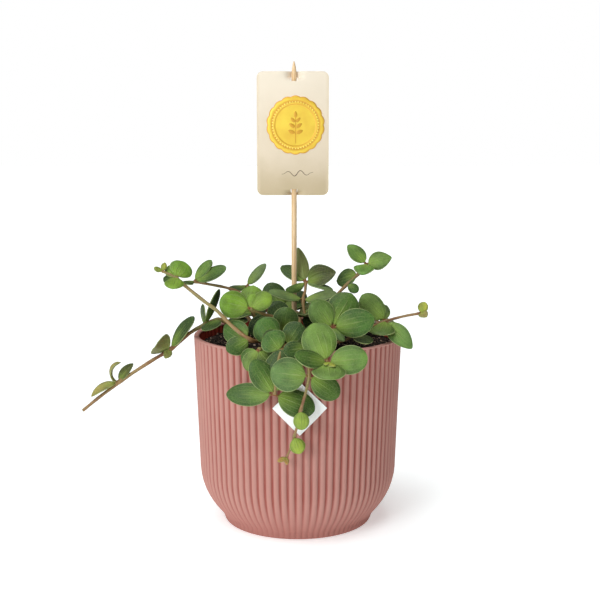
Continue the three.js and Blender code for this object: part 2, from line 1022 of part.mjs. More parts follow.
addNode("pot", buildPot(), 0xc4887e, 0.55);
addNode("soil", buildSoil([...SHOOTS.map(stemHole), stickSolid(GAP)]), 0x2a211c, 0.95);
addNode("stick", stickSolid(0), 0xe6c79c, 0.7);
addNode("name_card", buildCard(), 0xf4e6cf, 0.8);
addNode("pot_label", buildLabel(), 0xffffff, 0.6);
for (const shoot of SHOOTS) addNode(shoot.name, shootSolid(shoot), 0x5f8f45, 0.5);

export default object;
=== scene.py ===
"""Trailing peperomia in a fluted pot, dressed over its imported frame.

Sizes in the dataclasses are in millimetres and every mesh is in metres. The pot's axis is X = Y = 0, its
base stands at Z = 0 and the viewer looks along +Y.
"""

import logging
import math
from dataclasses import dataclass, field
from enum import Enum
from typing import Iterable, Sequence

import bpy
import numpy as np
from mathutils import Matrix, Quaternion, Vector, noise

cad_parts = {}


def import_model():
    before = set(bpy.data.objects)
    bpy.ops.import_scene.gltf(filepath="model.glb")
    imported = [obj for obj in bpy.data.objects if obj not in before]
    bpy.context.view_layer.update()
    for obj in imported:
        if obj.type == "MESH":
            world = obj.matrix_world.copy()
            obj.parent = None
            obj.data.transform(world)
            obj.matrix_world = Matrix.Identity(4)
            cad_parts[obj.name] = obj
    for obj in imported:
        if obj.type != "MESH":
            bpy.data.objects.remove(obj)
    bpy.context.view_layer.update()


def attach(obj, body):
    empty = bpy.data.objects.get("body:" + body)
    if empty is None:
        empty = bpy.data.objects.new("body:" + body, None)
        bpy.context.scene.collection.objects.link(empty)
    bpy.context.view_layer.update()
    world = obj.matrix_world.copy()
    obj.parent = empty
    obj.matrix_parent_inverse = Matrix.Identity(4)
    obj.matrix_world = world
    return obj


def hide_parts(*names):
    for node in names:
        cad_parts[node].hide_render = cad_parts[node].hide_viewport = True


LOG = logging.getLogger("potted_peperomia")

MM = 0.001
BODY = "root"

Colour = tuple[float, float, float, float]
Point = tuple[float, float, float]
Socket = bpy.types.NodeSocket
Feed = float | Colour | Socket

WHITE: Colour = (1.0, 1.0, 1.0, 1.0)


# Shared sizes, the same as the solids'


@dataclass(frozen=True)
class PotSizes:
    """Sizes of the fluted pot."""

    height: float = 127.4
    rim_radius: float = 70.0
    belly_top: float = 42.0
    belly_top_radius: float = 66.8
    foot_top: float = 6.2
    foot_top_radius: float = 52.1
    foot_base_radius: float = 49.9
    belly_power: float = 2.4
    wall: float = 3.5
    floor: float = 4.0
    floor_corner: float = 3.5
    flutes: int = 84
    flute_depth: float = 1.2
    flute_turn: float = -91.1
    lip_height: float = 1.4

    def radius(self, height: float) -> float:
        """Gives the radius of the ribs at a height.

        Args:
            height: Height over the base.

        Returns:
            Radius of the ribs' crests.
        """
        if height <= self.foot_top:
            share = height / self.foot_top
            return self.foot_base_radius + share * (self.foot_top_radius - self.foot_base_radius)
        if height < self.belly_top:
            share = (self.belly_top - height) / (self.belly_top - self.foot_top)
            narrowing = self.belly_top_radius - self.foot_top_radius
            return self.belly_top_radius - narrowing * share**self.belly_power
        share = (height - self.belly_top) / (self.height - self.belly_top)
        return self.belly_top_radius + share * (self.rim_radius - self.belly_top_radius)


POT = PotSizes()


# Mesh helpers


def start_clean() -> None:
    """Leaves edit mode and deselects everything."""
    if bpy.context.object and bpy.context.object.mode != "OBJECT":
        bpy.ops.object.mode_set(mode="OBJECT")
    bpy.ops.object.select_all(action="DESELECT")


def pick(piece: bpy.types.Object) -> None:
    """Makes one piece the only selected and active one."""
    start_clean()
    piece.select_set(True)
    bpy.context.view_layer.objects.active = piece


def new_piece(name: str) -> bpy.types.Object:
    """Names the piece that an operator has just added, and its mesh."""
    piece = bpy.context.object
    piece.name = name
    piece.data.name = name
    return piece


def finish_modifier(piece: bpy.types.Object, kind: str, **settings: object) -> None:
    """Adds a modifier to a piece and applies it.

    Args:
        piece: Piece to change.
        kind: Modifier type.
        **settings: The modifier's settings.
    """
    pick(piece)
    modifier = piece.modifiers.new(kind.title(), kind)
    for setting, value in settings.items():
        setattr(modifier, setting, value)
    bpy.ops.object.modifier_apply(modifier=modifier.name)


def read_points(piece: bpy.types.Object) -> np.ndarray:
    """Gives a mesh's points as rows of X, Y, Z."""
    points = np.zeros(len(piece.data.vertices) * 3)
    piece.data.vertices.foreach_get("co", points)
    return points.reshape(-1, 3)


def write_points(piece: bpy.types.Object, points: np.ndarray) -> None:
    """Moves a mesh's points to the rows given."""
    piece.data.vertices.foreach_set("co", np.ascontiguousarray(points, dtype=float).ravel())
    piece.data.update()


def write_numbers(piece: bpy.types.Object, name: str, values: np.ndarray) -> None:
    """Stores one number a point under a name that a material can read."""
    attribute = piece.data.attributes.new(name, "FLOAT", "POINT")
    attribute.data.foreach_set("value", np.ascontiguousarray(values, dtype=np.float32))


def write_colour(piece: bpy.types.Object, name: str, colour: Colour) -> None:
    """Stores one colour at all of a mesh's points."""
    attribute = piece.data.attributes.new(name, "FLOAT_COLOR", "POINT")
    attribute.data.foreach_set("color", np.tile(np.float32(colour), len(piece.data.vertices)))


def turned(name: str, profile: Sequence[tuple[float, float]], columns: int) -> bpy.types.Object:
    """Spins a profile about the upright axis and closes its seam and its poles.

    Args:
        name: The new piece's name.
        profile: Radius and height of each point, in millimetres, from the axis and back to it.
        columns: Number of columns round the axis.

    Returns:
        The closed piece, in metres.
    """
    mesh = bpy.data.meshes.new(name)
    rows = [(radius * MM, 0.0, height * MM) for radius, height in profile]
    mesh.from_pydata(rows, [(i, i + 1) for i in range(len(rows) - 1)], [])
    piece = bpy.data.objects.new(name, mesh)
    bpy.context.scene.collection.objects.link(piece)
    pick(piece)
    bpy.ops.object.mode_set(mode="EDIT")
    bpy.ops.mesh.select_all(action="SELECT")
    bpy.ops.mesh.spin(steps=columns, angle=2 * math.pi, center=(0, 0, 0), axis=(0, 0, 1))
    bpy.ops.mesh.select_all(action="SELECT")
    bpy.ops.mesh.remove_doubles(threshold=0.00001)
    bpy.ops.mesh.normals_make_consistent(inside=False)
    bpy.ops.object.mode_set(mode="OBJECT")
    return piece


def join(pieces: Sequence[bpy.types.Object], name: str) -> bpy.types.Object:
    """Joins pieces into the first one and names it."""
    start_clean()
    for piece in pieces:
        piece.select_set(True)
    bpy.context.view_layer.objects.active = pieces[0]
    if len(pieces) > 1:
        bpy.ops.object.join()
    return new_piece(name)


def smooth(piece: bpy.types.Object, degrees: float = 180.0) -> None:
    """Shades a piece smooth, with an edge left sharp where it turns by more than an angle."""
    pick(piece)
    if degrees < 180.0:
        bpy.ops.object.shade_smooth_by_angle(angle=math.radians(degrees))
    else:
        bpy.ops.object.shade_smooth()


def scattered(
    name: str, master: bpy.types.Object, places: Iterable[Matrix], jitter: float, seed: int
) -> bpy.types.Object:
    """Copies a small master to many places as one mesh, each copy a little different.

    Args:
        name: The new piece's name.
        master: Piece to copy, about one unit in radius. It is removed.
        places: One matrix for each copy.
        jitter: How far each point strays, as a share of the master's radius.
        seed: Seed of the straying.

    Returns:
        The new piece.
    """
    dice = np.random.default_rng(seed)
    shape = read_points(master)
    faces = [tuple(face.vertices) for face in master.data.polygons]
    points, copies = [], []
    for index, place in enumerate(places):
        matrix = np.array(place)
        lump = shape * (1 + jitter * dice.uniform(-1, 1, (len(shape), 1)))
        points.append(lump @ matrix[:3, :3].T + matrix[:3, 3])
        copies.extend(tuple(corner + index * len(shape) for corner in face) for face in faces)
    mesh = bpy.data.meshes.new(name)
    mesh.from_pydata(np.vstack(points).tolist(), [], copies)
    piece = bpy.data.objects.new(name, mesh)
    bpy.context.scene.collection.objects.link(piece)
    bpy.data.objects.remove(master)
    return piece


def hand_over(piece: bpy.types.Object, slot: str, *nodes: str) -> None:
    """Hangs a finished piece on the frame and reports it.

    Args:
        piece: Finished piece, with its place in its mesh.
        slot: Not used.
        *nodes: Solids that it stands for.
    """
    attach(piece, BODY)
    if nodes:
        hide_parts(*nodes)
    LOG.info("%s: %d faces", piece.name, len(piece.data.polygons))


# Finishes


def shade(code: str) -> Colour:
    """Turns a screen colour such as #6B9050 into the linear one that a shader takes.

    Args:
        code: Red, green and blue as two hex digits each.

    Returns:
        Linear red, green, blue and 1.
    """
    parts = [int(code[i : i + 2], 16) / 255 for i in (1, 3, 5)]
    linear = [part / 12.92 if part <= 0.04045 else ((part + 0.055) / 1.055) ** 2.4 for part in parts]
    return (linear[0], linear[1], linear[2], 1.0)


@dataclass(frozen=True)
class Ramp:
    """A smooth change: the two values it runs between and the strengths it gives there."""

    start: float
    end: float
    low: float = 0.0
    high: float = 1.0


@dataclass(frozen=True)
class Mottle:
    """A cloudy noise that a ramp turns into patches."""

    scale: float
    ramp: Ramp
    detail: float = 2.0
    roughness: float = 0.5


@dataclass(frozen=True)
class Grain:
    """A fine relief: the scale of its noise, its depth in metres and its strength."""

    scale: float
    depth: float
    strength: float
    detail: float = 2.0
    roughness: float = 0.5


class Finish:
    """A material under construction: its Principled shader and the nodes that feed it."""

    def __init__(self, name: str) -> None:
        """Starts a material with an empty shader."""
        self.material = bpy.data.materials.new(name)
        self.material.use_nodes = True
        self.tree = self.material.node_tree
        self.shader = self.tree.nodes["Principled BSDF"]

    def feed(self, socket: Socket, value: Feed) -> None:
        """Links a socket to another or sets its value."""
        if isinstance(value, bpy.types.NodeSocket):
            self.tree.links.new(value, socket)
        else:
            socket.default_value = value

    def surface(self, **values: Feed) -> None:
        """Feeds the shader's own sockets, each named with underscores for spaces."""
        for name, value in values.items():
            self.feed(self.shader.inputs[name.replace("_", " ")], value)

    def node(self, kind: str, feeds: dict[int | str, Feed], **settings: object) -> bpy.types.Node:
        """Adds a node.

        Args:
            kind: Node type.
            feeds: What goes into each input, by its name or number.
            **settings: The node's settings.

        Returns:
            The node.
        """
        node = self.tree.nodes.new(kind)
        for setting, value in settings.items():
            setattr(node, setting, value)
        for key, value in feeds.items():
            self.feed(node.inputs[key], value)
        return node

    def position(self, stretch: Point = (1.0, 1.0, 1.0)) -> Socket:
        """Gives the place on the object, stretched along its axes."""
        place = self.node("ShaderNodeTexCoord", {}).outputs["Object"]
        return self.node("ShaderNodeMapping", {"Vector": place, "Scale": stretch}).outputs["Vector"]

    def sheet_place(self) -> tuple[Socket, Socket]:
        """Gives the two coordinates of the piece's own UV map."""
        place = self.node("ShaderNodeUVMap", {}, uv_map="UVMap").outputs["UV"]
        parts = self.node("ShaderNodeSeparateXYZ", {"Vector": place})
        return parts.outputs["X"], parts.outputs["Y"]

    def stored(self, name: str, output: str = "Fac") -> Socket:
        """Gives what a mesh stores under a name."""
        return self.node("ShaderNodeAttribute", {}, attribute_name=name).outputs[output]

    def reckon(self, operation: str, first: Feed, second: Feed = 0.0) -> Socket:
        """Gives the result of a Math node, such as MULTIPLY, for two values."""
        return self.node("ShaderNodeMath", {0: first, 1: second}, operation=operation).outputs[0]

    def fade(self, value: Feed, ramp: Ramp) -> Socket:
        """Maps a value smoothly by a ramp."""
        span = {"From Min": ramp.start, "From Max": ramp.end, "To Min": ramp.low, "To Max": ramp.high}
        feeds = {"Value": value, **span}
        return self.node("ShaderNodeMapRange", feeds, interpolation_type="SMOOTHSTEP").outputs["Result"]

    def blend(self, share: Feed, first: Socket | str, second: str) -> Socket:
        """Mixes a screen colour, or a socket that gives a colour, with a second screen colour."""
        under = shade(first) if isinstance(first, str) else first
        feeds = {0: share, 6: under, 7: shade(second)}
        return self.node("ShaderNodeMix", feeds, data_type="RGBA").outputs[2]

    def speckle(self, place: Socket, scale: float, detail: float = 2.0, roughness: float = 0.5) -> Socket:
        """Gives a cloudy noise from 0 to 1."""
        feeds = {"Vector": place, "Scale": scale, "Detail": detail, "Roughness": roughness}
        return self.node("ShaderNodeTexNoise", feeds).outputs["Fac"]

    def mottle(self, place: Socket, patches: Mottle) -> Socket:
        """Gives the strength of some patches."""
        cloud = self.speckle(place, patches.scale, patches.detail, patches.roughness)
        return self.fade(cloud, patches.ramp)

    def cells(self, place: Socket, scale: float, feature: str = "F1") -> Socket:
        """Gives the distance in a cell pattern, to the centre or to the edge."""
        feeds = {"Vector": place, "Scale": scale}
        return self.node("ShaderNodeTexVoronoi", feeds, feature=feature).outputs["Distance"]

    def relief(self, height: Feed, distance: float, strength: float, under: Socket | None = None) -> Socket:
        """Turns a height into a bump, on top of another one where given."""
        feeds: dict[int | str, Feed] = {"Height": height, "Distance": distance, "Strength": strength}
        if under is not None:
            feeds["Normal"] = under
        return self.node("ShaderNodeBump", feeds).outputs["Normal"]

    def grain(self, place: Socket, grain: Grain, under: Socket | None = None) -> Socket:
        """Gives the bump of a grain, on top of another one where given."""
        height = self.speckle(place, grain.scale, grain.detail, grain.roughness)
        return self.relief(height, grain.depth, grain.strength, under)


@dataclass(frozen=True)
class PotFinish:
    """Smooth matt old rose, with painted shade: darker in the grooves, deep red on the inner wall and darker
    near the ground.
    """

    crest: str = "#B9867C"
    # Colour of the painted shade in the grooves and near the ground, also used for the random specks.
    groove: str = "#98534A"
    pale: str = "#C29288"
    # Deep red of the painted shade on the inner wall.
    inner: str = "#BC4C3D"
    groove_shade_ramp: Ramp = Ramp(0.25, 1.0)
    inner_shade_ramp: Ramp = Ramp(0.3, 0.7)
    ground_shade_ramp: Ramp = Ramp(0.0, 0.03, 0.4, 0.0)
    cloud: Mottle = Mottle(28.0, Ramp(0.35, 0.75, high=0.22), detail=4.0)
    dust: Mottle = Mottle(900.0, Ramp(0.66, 0.78, high=0.16), detail=3.0, roughness=0.7)
    wear: Mottle = Mottle(60.0, Ramp(0.3, 0.7, 0.68, 0.82), detail=4.0)
    skin: Grain = Grain(2400.0, 0.00006, 0.35)
    unevenness: Grain = Grain(110.0, 0.0005, 0.12)
    sheen: float = 0.12

    def build(self) -> bpy.types.Material:
        """Makes the material."""
        finish = Finish("old_rose_pot")
        place = finish.position()
        # Painted shade: the grooves and the inner ribs' hollows take the darker groove colour.
        groove = finish.fade(finish.stored("groove"), self.groove_shade_ramp)
        base = finish.blend(groove, self.crest, self.groove)
        base = finish.blend(finish.mottle(place, self.cloud), base, self.pale)
        base = finish.blend(finish.mottle(place, self.dust), base, self.groove)
        # Painted shade: the inner wall turns the deep red of the shade inside the pot.
        inner = finish.fade(finish.stored("shaded_inner_wall"), self.inner_shade_ramp)
        base = finish.blend(inner, base, self.inner)
        # Painted shade: the pot darkens towards the ground, under its belly.
        height = finish.node("ShaderNodeSeparateXYZ", {"Vector": place}).outputs["Z"]
        base = finish.blend(finish.fade(height, self.ground_shade_ramp), base, self.groove)
        bump = finish.grain(place, self.unevenness, finish.grain(place, self.skin))
        rough = finish.mottle(place, self.wear)
        finish.surface(Base_Color=base, Roughness=rough, Normal=bump, Specular_IOR_Level=self.sheen)
        return finish.material


@dataclass(frozen=True)
class SoilFinish:
    """Moist black-brown compost with lighter fibres."""

    dark: str = "#16110F"
    brown: str = "#3C2D25"
    fibre: str = "#9C7F68"
    fleck_noise: tuple[float, float, float] = (760.0, 3.0, 0.6)
    earth: Mottle = Mottle(320.0, Ramp(0.35, 0.72), detail=6.0, roughness=0.65)
    wear: Mottle = Mottle(500.0, Ramp(0.3, 0.7, 0.72, 0.98), detail=3.0)
    crumb: Grain = Grain(900.0, 0.0012, 0.9, detail=8.0, roughness=0.75)
    sheen: float = 0.25

    def build(self, name: str, lightness: float) -> bpy.types.Material:
        """Makes the material.

        Args:
            name: Material's name.
            lightness: How much of the surface is fibre, from 0 to 1.

        Returns:
            The material.
        """
        finish = Finish(name)
        place = finish.position()
        base = finish.blend(finish.mottle(place, self.earth), self.dark, self.brown)
        flecks = finish.speckle(place, *self.fleck_noise)
        fibres = Ramp(0.68 - 0.3 * lightness, 0.78 - 0.25 * lightness)
        base = finish.blend(finish.fade(flecks, fibres), base, self.fibre)
        bump = finish.grain(place, self.crumb)
        rough = finish.mottle(place, self.wear)
        finish.surface(Base_Color=base, Roughness=rough, Normal=bump, Specular_IOR_Level=self.sheen)
        return finish.material


@dataclass(frozen=True)
class WoodFinish:
    """Pale birch dowel with long grain and a few darker pores."""

    pale: str = "#F0D3AC"
    grain: str = "#D2A873"
    pore: str = "#9A7344"
    streak_stretch: Point = (900.0, 900.0, 26.0)
    pore_stretch: Point = (2600.0, 2600.0, 90.0)
    band_stretch: Point = (60.0, 60.0, 22.0)
    streak_noise: tuple[float, float, float] = (1.0, 5.0, 0.6)
    streak_ramp: Ramp = Ramp(0.35, 0.7)
    streak_relief: tuple[float, float] = (0.0002, 0.5)
    pores: Mottle = Mottle(1.0, Ramp(0.68, 0.8, high=0.55))
    bands: Mottle = Mottle(1.0, Ramp(0.3, 0.75, high=0.3))
    sheen: float = 0.35

    def build(self) -> bpy.types.Material:
        """Makes the material."""
        finish = Finish("pale_birch")
        streaks = finish.speckle(finish.position(self.streak_stretch), *self.streak_noise)
        base = finish.blend(finish.fade(streaks, self.streak_ramp), self.pale, self.grain)
        pores = finish.mottle(finish.position(self.pore_stretch), self.pores)
        base = finish.blend(pores, base, self.pore)
        bands = finish.mottle(finish.position(self.band_stretch), self.bands)
        base = finish.blend(bands, base, self.grain)
        bump = finish.relief(streaks, *self.streak_relief)
        finish.surface(Base_Color=base, Roughness=0.62, Normal=bump, Specular_IOR_Level=self.sheen)
        return finish.material


@dataclass(frozen=True)
class CardFinish:
    """Uncoated cream card with a soft paper tooth, and painted shade that turns it beige towards the foot."""

    top: str = "#EADCC8"
    middle: str = "#E0CFB7"
    # Beige of the painted shade at the foot, also the colour of the fibres.
    foot: str = "#C4B190"
    edge: str = "#DFCDB0"
    foot_shade_ramp: Ramp = Ramp(0.0, 0.42)
    top_ramp: Ramp = Ramp(0.45, 1.0)
    edge_ramp: Ramp = Ramp(0.44, 0.5, high=0.6)
    cloudiness: float = 0.34
    cloud_noise: tuple[float, float] = (45.0, 4.0)
    fibre_stretch: Point = (700.0, 700.0, 2400.0)
    fibres: Mottle = Mottle(1.0, Ramp(0.6, 0.8, high=0.16), detail=4.0, roughness=0.7)
    tooth: Grain = Grain(2600.0, 0.00012, 0.4, detail=4.0, roughness=0.7)
    sheen: float = 0.3

    def build(self) -> bpy.types.Material:
        """Makes the material."""
        finish = Finish("cream_card")
        across, up = finish.sheet_place()
        place = finish.position()
        # Painted shade: the card darkens from cream at the top to beige at the foot, along a line broken up by
        # a cloud.
        cloud = finish.reckon("SUBTRACT", finish.speckle(place, *self.cloud_noise), 0.5)
        height = finish.reckon("ADD", up, finish.reckon("MULTIPLY", cloud, self.cloudiness))
        base = finish.blend(finish.fade(height, self.foot_shade_ramp), self.foot, self.middle)
        base = finish.blend(finish.fade(height, self.top_ramp), base, self.top)
        side = finish.reckon("ABSOLUTE", finish.reckon("SUBTRACT", across, 0.5))
        base = finish.blend(finish.fade(side, self.edge_ramp), base, self.edge)
        fibres = finish.mottle(finish.position(self.fibre_stretch), self.fibres)
        base = finish.blend(fibres, base, self.foot)
        bump = finish.grain(place, self.tooth)
        finish.surface(Base_Color=base, Roughness=0.78, Normal=bump, Specular_IOR_Level=self.sheen)
        return finish.material


@dataclass(frozen=True)
class GoldFinish:
    """Printed gold foil: yellow on the raised parts and amber in the hollows."""

    name: str = "gold_foil"
    bright: str = "#F4D24A"
    amber: str = "#CF8420"
    metal: float = 0.25
    cloud: Mottle = Mottle(70.0, Ramp(0.3, 0.7, high=0.35), detail=3.0)
    wear: Mottle = Mottle(240.0, Ramp(0.3, 0.7, 0.34, 0.5), detail=3.0)
    grain: Grain = Grain(3000.0, 0.00005, 0.3, detail=3.0)

    def build(self) -> bpy.types.Material:
        """Makes the material."""
        finish = Finish(self.name)
        place = finish.position()
        hollow = finish.reckon("MAXIMUM", finish.stored("hollow"), finish.mottle(place, self.cloud))
        base = finish.blend(hollow, self.bright, self.amber)
        bump = finish.grain(place, self.grain)
        rough = finish.mottle(place, self.wear)
        finish.surface(Base_Color=base, Roughness=rough, Metallic=self.metal, Normal=bump)
        return finish.material


@dataclass(frozen=True)
class InkFinish:
    """Thin brown ink."""

    ink: str = "#5B473C"
    thin: str = "#8A7566"
    cloud: Mottle = Mottle(900.0, Ramp(0.4, 0.7), detail=3.0)

    def build(self) -> bpy.types.Material:
        """Makes the material."""
        finish = Finish("brown_ink")
        cloud = finish.mottle(finish.position(), self.cloud)
        finish.surface(Base_Color=finish.blend(cloud, self.ink, self.thin), Roughness=0.7)
        return finish.material


@dataclass(frozen=True)
class PaperFinish:
    """Smooth white label paper."""

    white: str = "#FBFAF8"
    fibre: str = "#E4E1DD"
    fibres: Mottle = Mottle(1600.0, Ramp(0.55, 0.8, high=0.5), detail=5.0, roughness=0.7)
    tooth: Grain = Grain(2200.0, 0.00006, 0.3, detail=3.0)
    sheen: float = 0.45

    def build(self) -> bpy.types.Material:
        """Makes the material."""
        finish = Finish("white_paper")
        place = finish.position()
        base = finish.blend(finish.mottle(place, self.fibres), self.white, self.fibre)
        bump = finish.grain(place, self.tooth)
        finish.surface(Base_Color=base, Roughness=0.42, Normal=bump, Specular_IOR_Level=self.sheen)
        return finish.material


@dataclass(frozen=True)
class LeafFinish:
    """Fleshy satin leaf with fine pale lengthwise veins, a net between them, a thin pale rim and painted shade
    towards its edges.
    """

    vein: str = "#A8B873"
    rim: str = "#B2BE7E"
    under: str = "#8A9058"
    heart: str = "#93AE46"
    # Dark green of the random mottle and of the painted shade towards the edges.
    shadow: str = "#26391B"
    stalk: str = "#8E5A3C"
    cloud: Mottle = Mottle(130.0, Ramp(0.32, 0.7, high=0.42), detail=3.0)
    fleck: Mottle = Mottle(1500.0, Ramp(0.58, 0.75, high=0.2))
    wear: Mottle = Mottle(420.0, Ramp(0.3, 0.7, 0.44, 0.6), detail=3.0)
    edge_ramp: Ramp = Ramp(0.5, 0.96, high=0.42)
    heart_ramp: Ramp = Ramp(0.8, 0.08, high=0.62)
    rim_ramp: Ramp = Ramp(0.94, 0.99, high=0.55)
    under_ramp: Ramp = Ramp(0.4, 0.6, high=0.55)
    stalk_ramp: Ramp = Ramp(0.13, 0.05)
    heart_roundness: float = 0.35
    vein_strength: float = 0.42
    vein_gap: float = 0.17
    vein_width: Ramp = Ramp(0.1, 0.9, 0.07, 0.03)
    vein_breaks: Mottle = Mottle(230.0, Ramp(0.35, 0.62, 0.35, 1.0), detail=3.0)
    wander: float = 0.1
    wander_scale: float = 170.0
    midrib_ramp: Ramp = Ramp(0.04, 0.14, 1.0, 0.6)
    tip_ramp: Ramp = Ramp(0.98, 0.6)
    side_ramp: Ramp = Ramp(0.98, 0.55, 0.2, 1.0)
    net_scale: float = 620.0
    net_ramp: Ramp = Ramp(0.1, 0.0)
    net_strength: float = 0.13
    vein_relief: tuple[float, float] = (0.0005, 0.8)
    pore_scale: float = 900.0
    pore_relief: tuple[float, float] = (0.0002, 0.35)
    sheen: float = 0.26

    def build(self) -> bpy.types.Material:
        """Makes the material. Its UV map runs across the blade and from the stalk to the tip."""
        finish = Finish("fleshy_leaf")
        place = finish.position()
        across, along = finish.sheet_place()
        signed = finish.reckon("MULTIPLY", finish.reckon("SUBTRACT", across, 0.5), 2.0)
        aside = finish.reckon("ABSOLUTE", signed)
        base = finish.stored("leaf_tint", "Color")
        base = finish.blend(finish.mottle(place, self.cloud), base, self.shadow)
        # Painted shade: the blade darkens towards its edges.
        base = finish.blend(finish.fade(aside, self.edge_ramp), base, self.shadow)
        from_stalk = finish.reckon("ADD", along, finish.reckon("MULTIPLY", aside, self.heart_roundness))
        base = finish.blend(finish.fade(from_stalk, self.heart_ramp), base, self.heart)
        vein = self.veins(finish, place, aside, along)
        base = finish.blend(finish.reckon("MULTIPLY", vein, self.vein_strength), base, self.vein)
        net = finish.fade(finish.cells(place, self.net_scale, "DISTANCE_TO_EDGE"), self.net_ramp)
        base = finish.blend(finish.reckon("MULTIPLY", net, self.net_strength), base, self.vein)
        base = finish.blend(finish.mottle(place, self.fleck), base, self.heart)
        base = finish.blend(finish.fade(aside, self.rim_ramp), base, self.rim)
        beneath = finish.fade(finish.stored("leaf_under"), self.under_ramp)
        base = finish.blend(beneath, base, self.under)
        base = finish.blend(finish.fade(along, self.stalk_ramp), base, self.stalk)
        bump = finish.relief(finish.reckon("SUBTRACT", 1.0, vein), *self.vein_relief)
        bump = finish.relief(finish.cells(place, self.pore_scale), *self.pore_relief, bump)
        rough = finish.mottle(place, self.wear)
        finish.surface(Base_Color=base, Roughness=rough, Normal=bump, Specular_IOR_Level=self.sheen)
        finish.surface(Subsurface_Weight=0.1, Subsurface_Scale=0.0025, Subsurface_Radius=(0.35, 0.7, 0.15))
        return finish.material

    def veins(self, finish: Finish, place: Socket, aside: Socket, along: Socket) -> Socket:
        """Draws the veins: thin lines that wander, meet the rim faintly and end before the tip.

        Args:
            finish: Material under construction.
            place: Place on the object.
            aside: Distance from the midrib, from 0 to 1.
            along: Place from the stalk to the tip, from 0 to 1.

        Returns:
            Strength of the veins.
        """
        cloud = finish.reckon("SUBTRACT", finish.speckle(place, self.wander_scale), 0.5)
        drift = finish.reckon("MULTIPLY", cloud, self.wander)
        line = finish.reckon("PINGPONG", finish.reckon("ADD", aside, drift), self.vein_gap)
        width = finish.fade(along, self.vein_width)
        thin = finish.fade(finish.reckon("DIVIDE", line, width), Ramp(1.0, 0.0))
        thin = finish.reckon("MULTIPLY", thin, finish.fade(aside, self.midrib_ramp))
        ends = finish.reckon("MULTIPLY", finish.fade(along, self.tip_ramp), finish.fade(aside, self.side_ramp))
        patchy = finish.mottle(place, self.vein_breaks)
        return finish.reckon("MULTIPLY", thin, finish.reckon("MULTIPLY", ends, patchy))


@dataclass(frozen=True)
class StemFinish:
    """Tan to red-brown stem with a green cast, pale flecks and a fine grain."""

    tan: str = "#917245"
    red: str = "#77492D"
    green: str = "#7B7A40"
    pale: str = "#D0AE82"
    patches: Mottle = Mottle(60.0, Ramp(0.48, 0.7), detail=3.0)
    cast: Mottle = Mottle(48.0, Ramp(0.44, 0.7, high=0.75))
    flecks: Mottle = Mottle(1100.0, Ramp(0.6, 0.75, high=0.35), detail=3.0)
    grain: Grain = Grain(1300.0, 0.0002, 0.5, detail=4.0)

    def build(self) -> bpy.types.Material:
        """Makes the material."""
        finish = Finish("tan_stem")
        place = finish.position()
        base = finish.blend(finish.mottle(place, self.patches), self.tan, self.red)
        base = finish.blend(finish.mottle(place, self.cast), base, self.green)
        base = finish.blend(finish.mottle(place, self.flecks), base, self.pale)
        finish.surface(Base_Color=base, Roughness=0.5, Normal=finish.grain(place, self.grain))
        finish.surface(Subsurface_Weight=0.06, Subsurface_Scale=0.002)
        return finish.material


# Pot and soil


